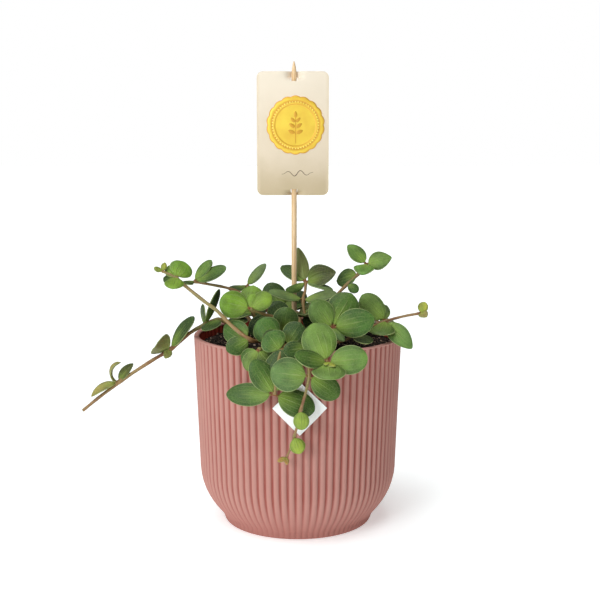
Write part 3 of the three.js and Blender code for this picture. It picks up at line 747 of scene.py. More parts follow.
@dataclass
class FlutedPot:
    """The pot: a spun wall whose outside is pressed into ribs."""

    phases: tuple[float, ...] = (0.0, 0.08, 0.17, 0.3, 0.5, 0.7, 0.83, 0.92)
    groove_power: float = 1.7
    inner_depth: float = 0.8
    foot_fading: float = 0.4
    full_ribs: float = 32.0
    foot_recess: float = 0.8
    foot_ring: float = 8.0
    lip_round: float = 0.6
    inner_ribs_from: float = 60.0
    dark_from: float = 20.0
    fillet: float = 0.35
    fillet_reach: float = 1.6
    near: float = 0.5
    inner_groove_shade: float = 0.6
    crease: float = 50.0

    def profile(self) -> list[tuple[float, float]]:
        """Gives the wall's section, from under the base's middle over the rim to the floor's middle."""
        lip = POT.height - POT.lip_height
        foot = POT.foot_base_radius
        ring = foot - self.foot_ring
        recess = [(0.0, self.foot_recess), (ring - 1.0, self.foot_recess)]
        under = [*recess, (ring, 0.0), (foot - 0.8, 0.0)]
        low = [(foot - 0.2, 0.25), *((POT.radius(z), z) for z in (0.9, 3.0, 5.2))]
        belly_heights = (6.2, 7.2, 8.6, 10.4, 12.6, 15.4, 18.8, 22.8, 27.4)
        belly = [(POT.radius(z) + self.foot_fillet(z), z) for z in belly_heights]
        wall_heights = (32.4, 37.4, 42.0, 52.0, 66.0, 82.0, 98.0, 112.0, 121.0, lip - 0.5, lip)
        wall = [(POT.radius(z), z) for z in wall_heights]
        rim = POT.rim_radius
        over = [
            (rim, lip + 0.45),
            (rim - 0.12, POT.height - 0.4),
            (rim - self.lip_round, POT.height - 0.06),
            (rim - self.lip_round - 0.6, POT.height),
            (rim - POT.wall + 1.0, POT.height - 0.04),
            (rim - POT.wall + 0.35, POT.height - 0.35),
            (rim - POT.wall, POT.height - 1.0),
        ]
        inner_heights = (lip - 0.6, lip - 1.2, 122.0, 116.0, 100.0, 72.0, 42.0, 30.0, 20.0, 12.0)
        inner = [(POT.radius(z) - POT.wall, z) for z in inner_heights]
        corner = POT.radius(POT.floor + POT.floor_corner) - POT.wall - POT.floor_corner
        return [*under, *low, *belly, *wall, *over, *inner, (corner, POT.floor), (0.0, POT.floor)]

    def foot_fillet(self, height: float) -> float:
        """Softens the notch between foot and belly."""
        return self.fillet * math.exp(-(((height - POT.foot_top) / self.fillet_reach) ** 2))

    def groove(self, phase: np.ndarray) -> np.ndarray:
        """Gives the groove's depth across one flute: 1 in its middle and 0 on the round crest."""
        return ((1 + np.cos(2 * math.pi * phase)) / 2) ** self.groove_power

    def build(self) -> None:
        """Makes the pot."""
        columns = POT.flutes * len(self.phases)
        pot = turned("pot_fluted", self.profile(), columns)
        points = read_points(pot)
        radius = np.hypot(points[:, 0], points[:, 1])
        height = points[:, 2] / MM
        turn = np.arctan2(points[:, 1], points[:, 0])
        index = np.round(turn / (2 * math.pi / columns)).astype(int) % columns
        phase = np.array(self.phases)[index % len(self.phases)]
        angle = math.radians(POT.flute_turn) + (index // len(self.phases) + phase) * 2 * math.pi / POT.flutes
        from_crest = np.array([POT.radius(min(z, POT.height)) for z in height]) - radius / MM
        lip = POT.height - POT.lip_height
        outside = (from_crest < 0.9) & (height > 0.1) & (height < lip + 0.1)
        fading = np.clip(self.foot_fading + (1 - self.foot_fading) * height / self.full_ribs, 0.0, 1.0)
        inner_side = (from_crest > POT.wall - self.near) & (height > self.dark_from) & (height < lip)
        inside = inner_side & (from_crest < POT.wall + self.near) & (height > self.inner_ribs_from)
        inside &= height < lip - 0.3
        hollow = self.groove(phase)
        depth = np.where(outside, POT.flute_depth * fading * hollow, 0.0)
        depth = np.where(inside, -self.inner_depth * (1 - hollow), depth)
        radius = radius - depth * MM
        points[:, 0], points[:, 1] = radius * np.cos(angle), radius * np.sin(angle)
        write_points(pot, points)
        # Painted shade: the grooves and the inner ribs' hollows are marked for the darker groove colour, and
        # the inner wall for the deep red of its shade.
        inner_shade = np.where(inside, self.inner_groove_shade * hollow, 0.0)
        write_numbers(pot, "groove", np.where(outside, hollow * fading, inner_shade))
        write_numbers(pot, "shaded_inner_wall", inner_side.astype(float))
        pot.data.materials.append(PotFinish().build())
        smooth(pot, self.crease)
        hand_over(pot, "pot_matt", "pot")


@dataclass
class SoilBed:
    """The compost: a bed with a rough top, loose crumbs and a few fibres."""

    top: float = 120.5
    bump: float = 0.8
    gap: float = 0.4
    columns: int = 200
    crumbs: int = 1500
    tan_crumbs: int = 420
    fibres: int = 130
    crown_rings: int = 46
    rough_scale: float = 0.35
    rough_noise: tuple[float, float, int] = (0.7, 2.1, 5)
    rough_height: float = 0.9
    calm_radius: float = 64.0
    calm_width: float = 8.0
    spread: float = 64.6
    crumb_sizes: tuple[float, float] = (0.5, 1.7)
    tan_sizes: tuple[float, float] = (0.4, 1.0)
    fibre_lengths: tuple[float, float] = (2.0, 5.5)
    fibre_radius: float = 0.16
    fibre_lean: float = 84.0
    fibre_spread: float = 0.93
    fibre_lift: float = 0.6
    lump_stretch: tuple[float, float] = (0.6, 1.15)
    lump_sink: float = 0.25
    lump_jitter: float = 0.22
    fibre_jitter: float = 0.1
    crumb_seed: int = 11
    tan_seed: int = 12
    fibre_seed: int = 13

    def level(self, x: float, y: float) -> float:
        """Gives the height of the bed's top at a place: low swells that die away at the wall, and crumbs."""
        radius, angle = math.hypot(x, y), math.atan2(y, x)
        swell = math.sin(radius * 0.9 + 3 * angle) + math.sin(radius * 0.5 - 5 * angle + 1)
        rough = noise.fractal(Vector((x, y, 3.0)) * self.rough_scale, *self.rough_noise)
        calm = min(1.0, (self.calm_radius - radius) / self.calm_width)
        return self.top + self.bump * swell / 2 * calm + self.rough_height * rough

    def build(self) -> None:
        """Makes the bed and what lies on it."""
        edge = POT.radius(self.top) - POT.wall - self.gap
        side = [(POT.radius(z) - POT.wall - self.gap, z) for z in (12.0, 20.0, 30.0, 42.0, 80.0)]
        corner = POT.radius(POT.floor + POT.floor_corner) - POT.wall - POT.floor_corner - self.gap
        crown = [(edge * share, self.top) for share in np.linspace(1, 0, self.crown_rings)]
        floor = POT.floor + self.gap
        bed = turned("soil_bed", [(0.0, floor), (corner, floor), *side, *crown], self.columns)
        points = read_points(bed)
        for row in np.flatnonzero(points[:, 2] > (self.top - 0.01) * MM):
            points[row, 2] = self.level(points[row, 0] / MM, points[row, 1] / MM) * MM
        write_points(bed, points)
        bed.data.materials.append(SoilFinish().build("compost", 0.25))
        smooth(bed)
        hand_over(bed, "soil", "soil")
        dark = self.lumps("soil_crumbs", self.crumbs, self.crumb_sizes, self.crumb_seed)
        dark.data.materials.append(SoilFinish().build("compost_crumb", 0.35))
        hand_over(dark, "soil")
        tan = self.lumps("soil_bark", self.tan_crumbs, self.tan_sizes, self.tan_seed)
        bark = SoilFinish(dark="#5A4436", brown="#A88A74", fibre="#CDB49E")
        tan.data.materials.append(bark.build("bark_crumb", 0.8))
        hand_over(tan, "soil")
        self.build_fibres()

    def place(self, dice: np.random.Generator) -> tuple[float, float]:
        """Picks a place on the bed, clear of the wall."""
        radius = self.spread * math.sqrt(dice.uniform(0, 1))
        angle = dice.uniform(0, 2 * math.pi)
        return radius * math.cos(angle), radius * math.sin(angle)

    def lumps(self, name: str, count: int, sizes: tuple[float, float], seed: int) -> bpy.types.Object:
        """Strews small lumps over the bed.

        Args:
            name: The new piece's name.
            count: Number of lumps.
            sizes: Smallest and largest radius.
            seed: Seed of their places and shapes.

        Returns:
            The lumps as one piece.
        """
        dice = np.random.default_rng(seed)
        start_clean()
        bpy.ops.mesh.primitive_ico_sphere_add(subdivisions=1, radius=1.0)
        places = []
        for _ in range(count):
            x, y = self.place(dice)
            size = sizes[0] + (sizes[1] - sizes[0]) * dice.uniform(0, 1) ** 2
            axis = Vector(dice.normal(size=3).tolist()).normalized()
            spin = Quaternion(axis, dice.uniform(0, math.pi)).to_matrix().to_4x4()
            stretch = Matrix.Diagonal((*(size * MM * dice.uniform(*self.lump_stretch, 3)).tolist(), 1.0))
            centre = Vector((x, y, self.level(x, y) + self.lump_sink * size)) * MM
            places.append(Matrix.Translation(centre) @ spin @ stretch)
        return scattered(name, new_piece(name + "_master"), places, self.lump_jitter, seed)

    def build_fibres(self) -> None:
        """Strews thin root fibres over the bed."""
        dice = np.random.default_rng(self.fibre_seed)
        start_clean()
        bpy.ops.mesh.primitive_cylinder_add(vertices=5, radius=self.fibre_radius * MM, depth=1.0)
        lying = math.radians(self.fibre_lean)
        places = []
        for _ in range(self.fibres):
            x, y = (self.fibre_spread * part for part in self.place(dice))
            length = dice.uniform(*self.fibre_lengths) * MM
            lean = Quaternion((0, 0, 1), dice.uniform(0, 2 * math.pi)) @ Quaternion((1, 0, 0), lying)
            turn = lean.to_matrix().to_4x4()
            centre = Vector((x, y, self.level(x, y) + self.fibre_lift)) * MM
            places.append(Matrix.Translation(centre) @ turn @ Matrix.Diagonal((1, 1, length, 1)))
        master = new_piece("fibre_master")
        fibres = scattered("soil_fibres", master, places, self.fibre_jitter, self.fibre_seed)
        root = SoilFinish(dark="#6B5140", brown="#B4977C", fibre="#D8C2A6")
        fibres.data.materials.append(root.build("root_fibre", 0.6))
        hand_over(fibres, "soil")


# Stick, card and label


@dataclass
class MarkerStick:
    """The wooden stick that carries the card."""

    x: float = -2.4
    y: float = 4.0
    radius: float = 1.75
    foot: float = 45.0
    tip: float = 308.0
    point: float = 8.0
    point_steps: tuple[tuple[float, float], ...] = ((0.55, 0.66), (0.33, 0.5), (0.12, 0.5))
    sides: int = 28
    crease: float = 40.0

    def build(self) -> None:
        """Makes the stick: a dowel whose top is drawn out to a blunt point."""
        start_clean()
        shoulder = self.tip - self.point
        depth = (shoulder - self.foot) * MM
        centre = (self.x * MM, self.y * MM, (shoulder + self.foot) / 2 * MM)
        size = {"radius": self.radius * MM, "depth": depth}
        bpy.ops.mesh.primitive_cylinder_add(vertices=self.sides, **size, location=centre)
        stick = new_piece("marker_stick")
        bpy.ops.object.transform_apply(location=True, rotation=True, scale=True)
        bpy.ops.object.mode_set(mode="EDIT")
        for rise, share in self.point_steps:
            self.select_top(stick)
            lift = (0, 0, self.point * rise * MM)
            bpy.ops.mesh.extrude_region_move(TRANSFORM_OT_translate={"value": lift})
            bpy.ops.transform.resize(value=(share, share, 1), center_override=(self.x * MM, self.y * MM, 0))
        bpy.ops.object.mode_set(mode="OBJECT")
        stick.data.materials.append(WoodFinish().build())
        smooth(stick, self.crease)
        hand_over(stick, "stick_wood", "stick")

    def select_top(self, stick: bpy.types.Object) -> None:
        """Selects the face that looks up."""
        bpy.ops.mesh.select_all(action="DESELECT")
        bpy.ops.object.mode_set(mode="OBJECT")
        top = max(stick.data.polygons, key=lambda face: face.center.z)
        top.select = True
        bpy.ops.object.mode_set(mode="EDIT")


@dataclass
class NameCard:
    """The card, bent round the stick at two slots, with its gold medallion and its flourish."""

    x: float = -3.2
    width: float = 47.5
    bottom: float = 220.4
    top: float = 301.5
    thickness: float = 0.6
    corner: float = 4.0
    bow: float = 1.2
    slot_half_width: float = 2.05
    slot_height: float = 2.6
    upper_slot: float = 295.2
    lower_slot: float = 224.4
    strap_half_width: float = 4.2
    room: float = 0.45
    corner_shares: tuple[float, ...] = (0.0, 0.06, 0.16, 0.3, 0.5, 0.72, 1.0)
    middle_rows: int = 36
    least_row: float = 0.05
    close_reach: float = 9.0
    close_columns: int = 25
    wide_columns: int = 23
    least_column: float = 0.3
    crease: float = 35.0
    stick: MarkerStick = field(default_factory=MarkerStick)

    def depth(self, x: float, z: float) -> float:
        """Gives the card's middle depth: in front of the stick, and behind it past each slot.

        Args:
            x: Place across.
            z: Height.

        Returns:
            Y of the middle of the card's thickness.
        """
        reach = self.stick.radius + self.room + self.thickness / 2
        above = smooth_step(z, self.upper_slot, self.upper_slot + self.slot_height)
        below = 1 - smooth_step(z, self.lower_slot - self.slot_height, self.lower_slot)
        strap = math.exp(-(((x - self.stick.x) / self.strap_half_width) ** 2)) * max(above, below)
        bow = self.bow * ((x - self.x) / (self.width / 2)) ** 2
        return self.stick.y - reach + bow + 2 * reach * strap

    def half_width(self, z: float) -> float:
        """Gives half the card's width at a height, drawn in at its round corners."""
        edge = min(z - self.bottom, self.top - z, self.corner)
        return self.width / 2 - self.corner + math.sqrt(max(0.0, self.corner**2 - (self.corner - edge) ** 2))

    def slot_spans(self) -> tuple[tuple[float, float], tuple[float, float]]:
        """Gives the lower and upper lip of each slot."""
        return (
            (self.lower_slot - self.slot_height, self.lower_slot),
            (self.upper_slot, self.upper_slot + self.slot_height),
        )

    def rows(self) -> list[float]:
        """Gives the heights of the card's rows, close at its corners and on both lips of each slot."""
        ends = [self.corner * share for share in self.corner_shares]
        slots = [lip for span in self.slot_spans() for lip in span]
        middle = np.linspace(self.lower_slot + 1, self.upper_slot - 1, self.middle_rows).tolist()
        near = [z + step for z in slots for step in (-0.5, 0.5)]
        spread = [self.bottom + end for end in ends] + [self.top - end for end in ends]
        levels = sorted({round(z, 3) for z in (*slots, *middle, *near, *spread)})
        gaps = [math.inf, *np.diff(levels)]
        return [z for z, gap in zip(levels, gaps) if gap > self.least_row or z in slots]

    def columns(self) -> list[float]:
        """Gives the places of the card's columns from its middle, close at the stick."""
        slot = [self.stick.x - self.x + side for side in (-self.slot_half_width, self.slot_half_width)]
        steps = np.linspace(-self.close_reach, self.close_reach, self.close_columns)
        close = (self.stick.x - self.x + steps).tolist()
        wide = np.linspace(-self.width / 2, self.width / 2, self.wide_columns).tolist()
        far = [x for x in wide if abs(x) > self.close_reach + 1]
        places = sorted({round(x, 3) for x in (*slot, *close, *far)})
        gaps = [math.inf, *np.diff(places)]
        return [x for x, gap in zip(places, gaps) if gap > self.least_column or x in slot]

    def build(self) -> None:
        """Makes the card and its print."""
        rows, columns = self.rows(), self.columns()
        start_clean()
        cells = {"x_subdivisions": len(columns) - 1, "y_subdivisions": len(rows) - 1}
        bpy.ops.mesh.primitive_grid_add(**cells, size=1.0)
        card = new_piece("card_sheet")
        points = read_points(card)
        order_x = np.round((points[:, 0] + 0.5) * (len(columns) - 1)).astype(int)
        order_y = np.round((points[:, 1] + 0.5) * (len(rows) - 1)).astype(int)
        for i, (column, row) in enumerate(zip(order_x, order_y)):
            z = rows[row]
            x = self.x + columns[column] * self.half_width(z) / (self.width / 2)
            points[i] = (x * MM, self.depth(x, z) * MM, z * MM)
        write_points(card, points)
        self.stretch_map(card)
        self.cut_slots(card)
        finish_modifier(card, "SOLIDIFY", thickness=self.thickness * MM, offset=0.0, use_even_offset=True)
        card.data.materials.append(CardFinish().build())
        smooth(card, self.crease)
        hand_over(card, "card", "name_card")
        CardPrint(self).build()

    def stretch_map(self, card: bpy.types.Object) -> None:
        """Lays the UV map flat over the card: 0 to 1 across and up."""
        points = read_points(card)
        for loop, place in zip(card.data.loops, card.data.uv_layers["UVMap"].data):
            x, _, z = points[loop.vertex_index] / MM
            place.uv = ((x - self.x) / self.width + 0.5, (z - self.bottom) / (self.top - self.bottom))

    def cut_slots(self, card: bpy.types.Object) -> None:
        """Takes out the faces between the lips of each slot."""
        pick(card)
        bpy.ops.object.mode_set(mode="EDIT")
        bpy.ops.mesh.select_all(action="DESELECT")
        bpy.ops.object.mode_set(mode="OBJECT")
        for face in card.data.polygons:
            x, z = face.center.x / MM, face.center.z / MM
            level = any(low < z < high for low, high in self.slot_spans())
            face.select = level and abs(x - self.stick.x) < self.slot_half_width
        bpy.ops.object.mode_set(mode="EDIT")
        bpy.ops.mesh.delete(type="FACE")
        bpy.ops.object.mode_set(mode="OBJECT")


def smooth_step(value: float, start: float, end: float) -> float:
    """Rises smoothly from 0 at start to 1 at end."""
    share = min(1.0, max(0.0, (value - start) / (end - start)))
    return share * share * (3 - 2 * share)


@dataclass
class CardPrint:
    """The card's print: a plain round gold medallion with a leaf sprig, and a brown flourish under it."""

    card: NameCard
    centre: tuple[float, float] = (-1.4, 266.5)
    radius: float = 18.6
    scallops: int = 18
    scallop: float = 0.8
    scallops_from: float = 0.8
    disc_columns: int = 288
    crease: float = 60.0
    bead_radius: float = 15.2
    beads: int = 52
    bead_size: Point = (0.6, 0.6, 0.36)
    bead_height: float = 0.28
    sprig_top: Point = (4.6, 90.0, 4.2)
    sprig_pairs: tuple[Point, ...] = ((-5.4, 24.0, 4.6), (-1.6, 34.0, 4.4), (1.9, 46.0, 3.8))
    sprig_half_gap: float = 0.3
    sprig_half_width: float = 0.27
    sprig_level: float = 0.12
    sprig_half_thickness: float = 0.26
    sprig_depth: float = 0.55
    bead_seed: int = 21
    flourish_steps: int = 120
    flourish_centre: tuple[float, float] = (1.2, -31.6)
    flourish_half_length: float = 10.5
    flourish_height: float = 2.1
    pen: float = 0.24

    def build(self) -> None:
        """Makes the print."""
        rosette = self.build_rosette()
        beads = self.build_beads()
        sprig = self.build_sprig()
        for piece in (rosette, beads, sprig):
            smooth(piece, self.crease)
            hand_over(piece, "card")
        self.build_flourish()

    def lay(self, piece: bpy.types.Object, flat: np.ndarray) -> None:
        """Lays a flat shape on the card's front.

        Args:
            piece: Piece to move.
            flat: Rows of place across, place up and height over the card, from the medallion's centre.
        """
        points = np.zeros_like(flat)
        for i, (across, up, height) in enumerate(flat):
            x, z = self.centre[0] + across, self.centre[1] + up
            y = self.card.depth(x, z) - self.card.thickness / 2 - height
            points[i] = (x * MM, y * MM, z * MM)
        write_points(piece, points)

    def build_rosette(self) -> bpy.types.Object:
        """Makes the scalloped disc with a raised collar round its flat middle.

        Each section gives a share of the radius, a height and how deep the gold's colour is there.
        """
        sections = (
            (0.0, 0.1, 0.0),
            (0.35, 0.1, 0.0),
            (0.7, 0.1, 0.05),
            (0.72, 0.12, 0.5),
            (0.745, 0.34, 0.75),
            (0.77, 0.42, 0.0),
            (0.795, 0.34, 0.35),
            (0.83, 0.24, 0.9),
            (0.87, 0.4, 0.5),
            (0.92, 0.52, 0.0),
            (0.965, 0.4, 0.3),
            (0.995, 0.14, 0.9),
            (1.0, -0.05, 1.0),
            (0.0, -0.05, 1.0),
        )
        profile = [(share * self.radius, height) for share, height, _ in sections]
        disc = turned("medallion_disc", profile, self.disc_columns)
        points = read_points(disc) / MM
        radius = np.hypot(points[:, 0], points[:, 1])
        angle = np.arctan2(points[:, 1], points[:, 0])
        share = radius / self.radius
        outer = np.clip((share - self.scallops_from) / (1 - self.scallops_from), 0, 1) ** 1.5
        wave = 1 + self.scallop / self.radius * np.abs(np.sin(angle * self.scallops / 2)) * outer
        flat = np.column_stack([points[:, 0] * wave, points[:, 1] * wave, points[:, 2]])
        hollow = np.interp(share, [s for s, _, _ in sections[:-1]], [h for _, _, h in sections[:-1]])
        write_numbers(disc, "hollow", hollow)
        self.lay(disc, flat)
        disc.data.materials.append(GoldFinish().build())
        return disc

    def build_beads(self) -> bpy.types.Object:
        """Makes the ring of beads inside the collar."""
        start_clean()
        bpy.ops.mesh.primitive_uv_sphere_add(segments=10, ring_count=6, radius=1.0)
        places = []
        for bead in range(self.beads):
            angle = 2 * math.pi * bead / self.beads
            across, up = self.bead_radius * math.cos(angle), self.bead_radius * math.sin(angle)
            spot = Matrix.Translation((across, up, self.bead_height))
            places.append(spot @ Matrix.Diagonal((*self.bead_size, 1)))
        beads = scattered("medallion_beads", new_piece("bead_master"), places, 0.0, self.bead_seed)
        self.lay(beads, read_points(beads))
        write_numbers(beads, "hollow", np.zeros(len(beads.data.vertices)))
        beads.data.materials.append(GoldFinish(name="gold_bead", bright="#FFE873", amber="#E0A12C").build())
        return beads

    def build_sprig(self) -> bpy.types.Object:
        """Makes the sprig: a stalk with pairs of leaves and one at its top, each by rise, lean and length."""
        pieces = [self.sprig_leaf(0.0, *self.sprig_top)]
        for rise, lean, size in self.sprig_pairs:
            pieces.append(self.sprig_leaf(self.sprig_half_gap, rise, lean, size))
            pieces.append(self.sprig_leaf(-self.sprig_half_gap, rise, 180.0 - lean, size))
        pieces.append(self.sprig_stalk())
        sprig = join(pieces, "medallion_sprig")
        self.lay(sprig, read_points(sprig))
        write_numbers(sprig, "hollow", np.full(len(sprig.data.vertices), self.sprig_depth))
        sprig.data.materials.append(GoldFinish(name="gold_sprig", bright="#E9B735", amber="#B9781B").build())
        return sprig

    def sprig_leaf(self, across: float, up: float, lean: float, size: float) -> bpy.types.Object:
        """Makes one domed leaf of the sprig.

        Args:
            across: Place of its foot across.
            up: Place of its foot up.
            lean: Turn from straight right.
            size: Its length.

        Returns:
            The leaf, flat, in millimetres.
        """
        start_clean()
        bpy.ops.mesh.primitive_uv_sphere_add(segments=16, ring_count=8, radius=1.0)
        leaf = new_piece("sprig_leaf")
        points = read_points(leaf)
        width = self.sprig_half_width * size * (1 - 0.25 * points[:, 0])
        along, aside = (points[:, 0] + 1.15) * size / 2, points[:, 1] * width
        turn = math.radians(lean)
        x = across + along * math.cos(turn) - aside * math.sin(turn)
        y = up + along * math.sin(turn) + aside * math.cos(turn)
        height = self.sprig_level + self.sprig_half_thickness * points[:, 2]
        write_points(leaf, np.column_stack([x, y, height]))
        return leaf

    def sprig_stalk(self) -> bpy.types.Object:
        """Makes the sprig's stalk."""
        start_clean()
        bpy.ops.mesh.primitive_cylinder_add(vertices=10, radius=1.0, depth=1.0)
        stalk = new_piece("sprig_stalk")
        points = read_points(stalk)
        places = np.column_stack([0.28 * points[:, 0], -3.4 + 17.0 * points[:, 2], 0.14 - 0.2 * points[:, 1]])
        write_points(stalk, places)
        return stalk

    def build_flourish(self) -> None:
        """Makes the pen flourish: a plain wave that swells in its middle and dies away at its ends."""
        steps = self.flourish_steps
        middle, level = self.flourish_centre
        data = bpy.data.curves.new("card_flourish", "CURVE")
        data.dimensions = "3D"
        data.bevel_depth = self.pen
        data.bevel_resolution = 1
        data.use_fill_caps = True
        line = data.splines.new("POLY")
        line.points.add(steps)
        for step, point in enumerate(line.points):
            share = 2 * step / steps - 1
            wave = math.sin(2.5 * math.pi * share) * (1 - 0.75 * abs(share))
            up = level + self.flourish_height * wave
            point.co = (middle + self.flourish_half_length * share, up, 0.02, 1.0)
            point.radius = 1.15 - 0.75 * abs(share)
        flourish = bpy.data.objects.new("card_flourish", data)
        bpy.context.scene.collection.objects.link(flourish)
        pick(flourish)
        bpy.ops.object.convert(target="MESH")
        flourish = new_piece("card_flourish")
        flat = read_points(flourish)
        flat[:, 2] *= 0.25
        self.lay(flourish, flat)
        flourish.data.materials.append(InkFinish().build())
        hand_over(flourish, "card")


@dataclass
class PotLabel:
    """The plain white paper square stuck on its corner to the ribs."""

    x: float = 1.4
    height: float = 91.8
    half_diagonal: float = 17.2
    thickness: float = 0.35
    gap: float = 0.3
    steps: int = 40
    print_through: float = 0.12
    crease: float = 40.0

    def build(self) -> None:
        """Makes the label, wrapped round the wall and faintly printed through by the ribs."""
        start_clean()
        bpy.ops.mesh.primitive_grid_add(x_subdivisions=self.steps, y_subdivisions=self.steps, size=1.0)
        label = new_piece("label_paper")
        points = read_points(label)
        for i, (u, v, _) in enumerate(points.tolist()):
            along = self.x + (u - v) * self.half_diagonal
            z = self.height + (u + v) * self.half_diagonal
            radius = POT.radius(z) + self.gap + self.thickness / 2
            angle = -math.pi / 2 + along / radius
            flute = (math.degrees(angle) - POT.flute_turn) * POT.flutes / 360
            radius -= self.print_through * (1 - abs(math.sin(math.pi * flute)))
            points[i] = (radius * math.cos(angle) * MM, radius * math.sin(angle) * MM, z * MM)
        write_points(label, points)
        finish_modifier(label, "SOLIDIFY", thickness=self.thickness * MM, offset=0.0)
        pick(label)
        bpy.ops.object.mode_set(mode="EDIT")
        bpy.ops.mesh.select_all(action="SELECT")
        bpy.ops.mesh.normals_make_consistent(inside=False)
        bpy.ops.object.mode_set(mode="OBJECT")
        label.data.materials.append(PaperFinish().build())
        smooth(label, self.crease)
        hand_over(label, "label", "pot_label")


# Plant


class Tone(Enum):
    """Colour of a leaf's flesh. The darkest tone, and the dark one on leaves deep in the cluster, are painted
    shade.
    """

    SOFT = "#67873A"
    MID = "#4A6A29"
    BRIGHT = "#7C9E32"
    # Darker flesh, and painted shade on leaves inside the cluster.
    DARK = "#375021"
    # Painted shade for leaves deep in the cluster.
    DEEP = "#253A15"
    GREY = "#6B844E"
    OLIVE = "#55552A"
    FRESH = "#6F9440"
    LIME = "#98AC45"
    YOUNG = "#A9AE45"
    STRAW = "#9A9150"
    AMBER = "#BE8F4E"


# How far a leaf of each tone is drawn in towards its tip, and how steeply it is folded along its midrib
POINTS = {Tone.OLIVE: 0.5, Tone.FRESH: 0.42, Tone.STRAW: 0.3, Tone.AMBER: 0.3, Tone.GREY: 0.14}
FOLDS = {Tone.OLIVE: 0.55, Tone.FRESH: 0.18, Tone.STRAW: 0.4, Tone.AMBER: 0.4}


@dataclass(frozen=True)
class Leaf:
    """One leaf: turn from +X, lift, length, width, roll and arch, in degrees and millimetres."""

    turn: float
    lift: float
    length: float
    width: float
    roll: float
    arch: float
    tone: Tone


@dataclass(frozen=True)
class StemPlan:
    """One stem: its girth, the points it passes and the leaves at some of those points."""

    girth: float
    path: tuple[Point, ...]
    whorls: dict[int, tuple[Leaf, ...]]


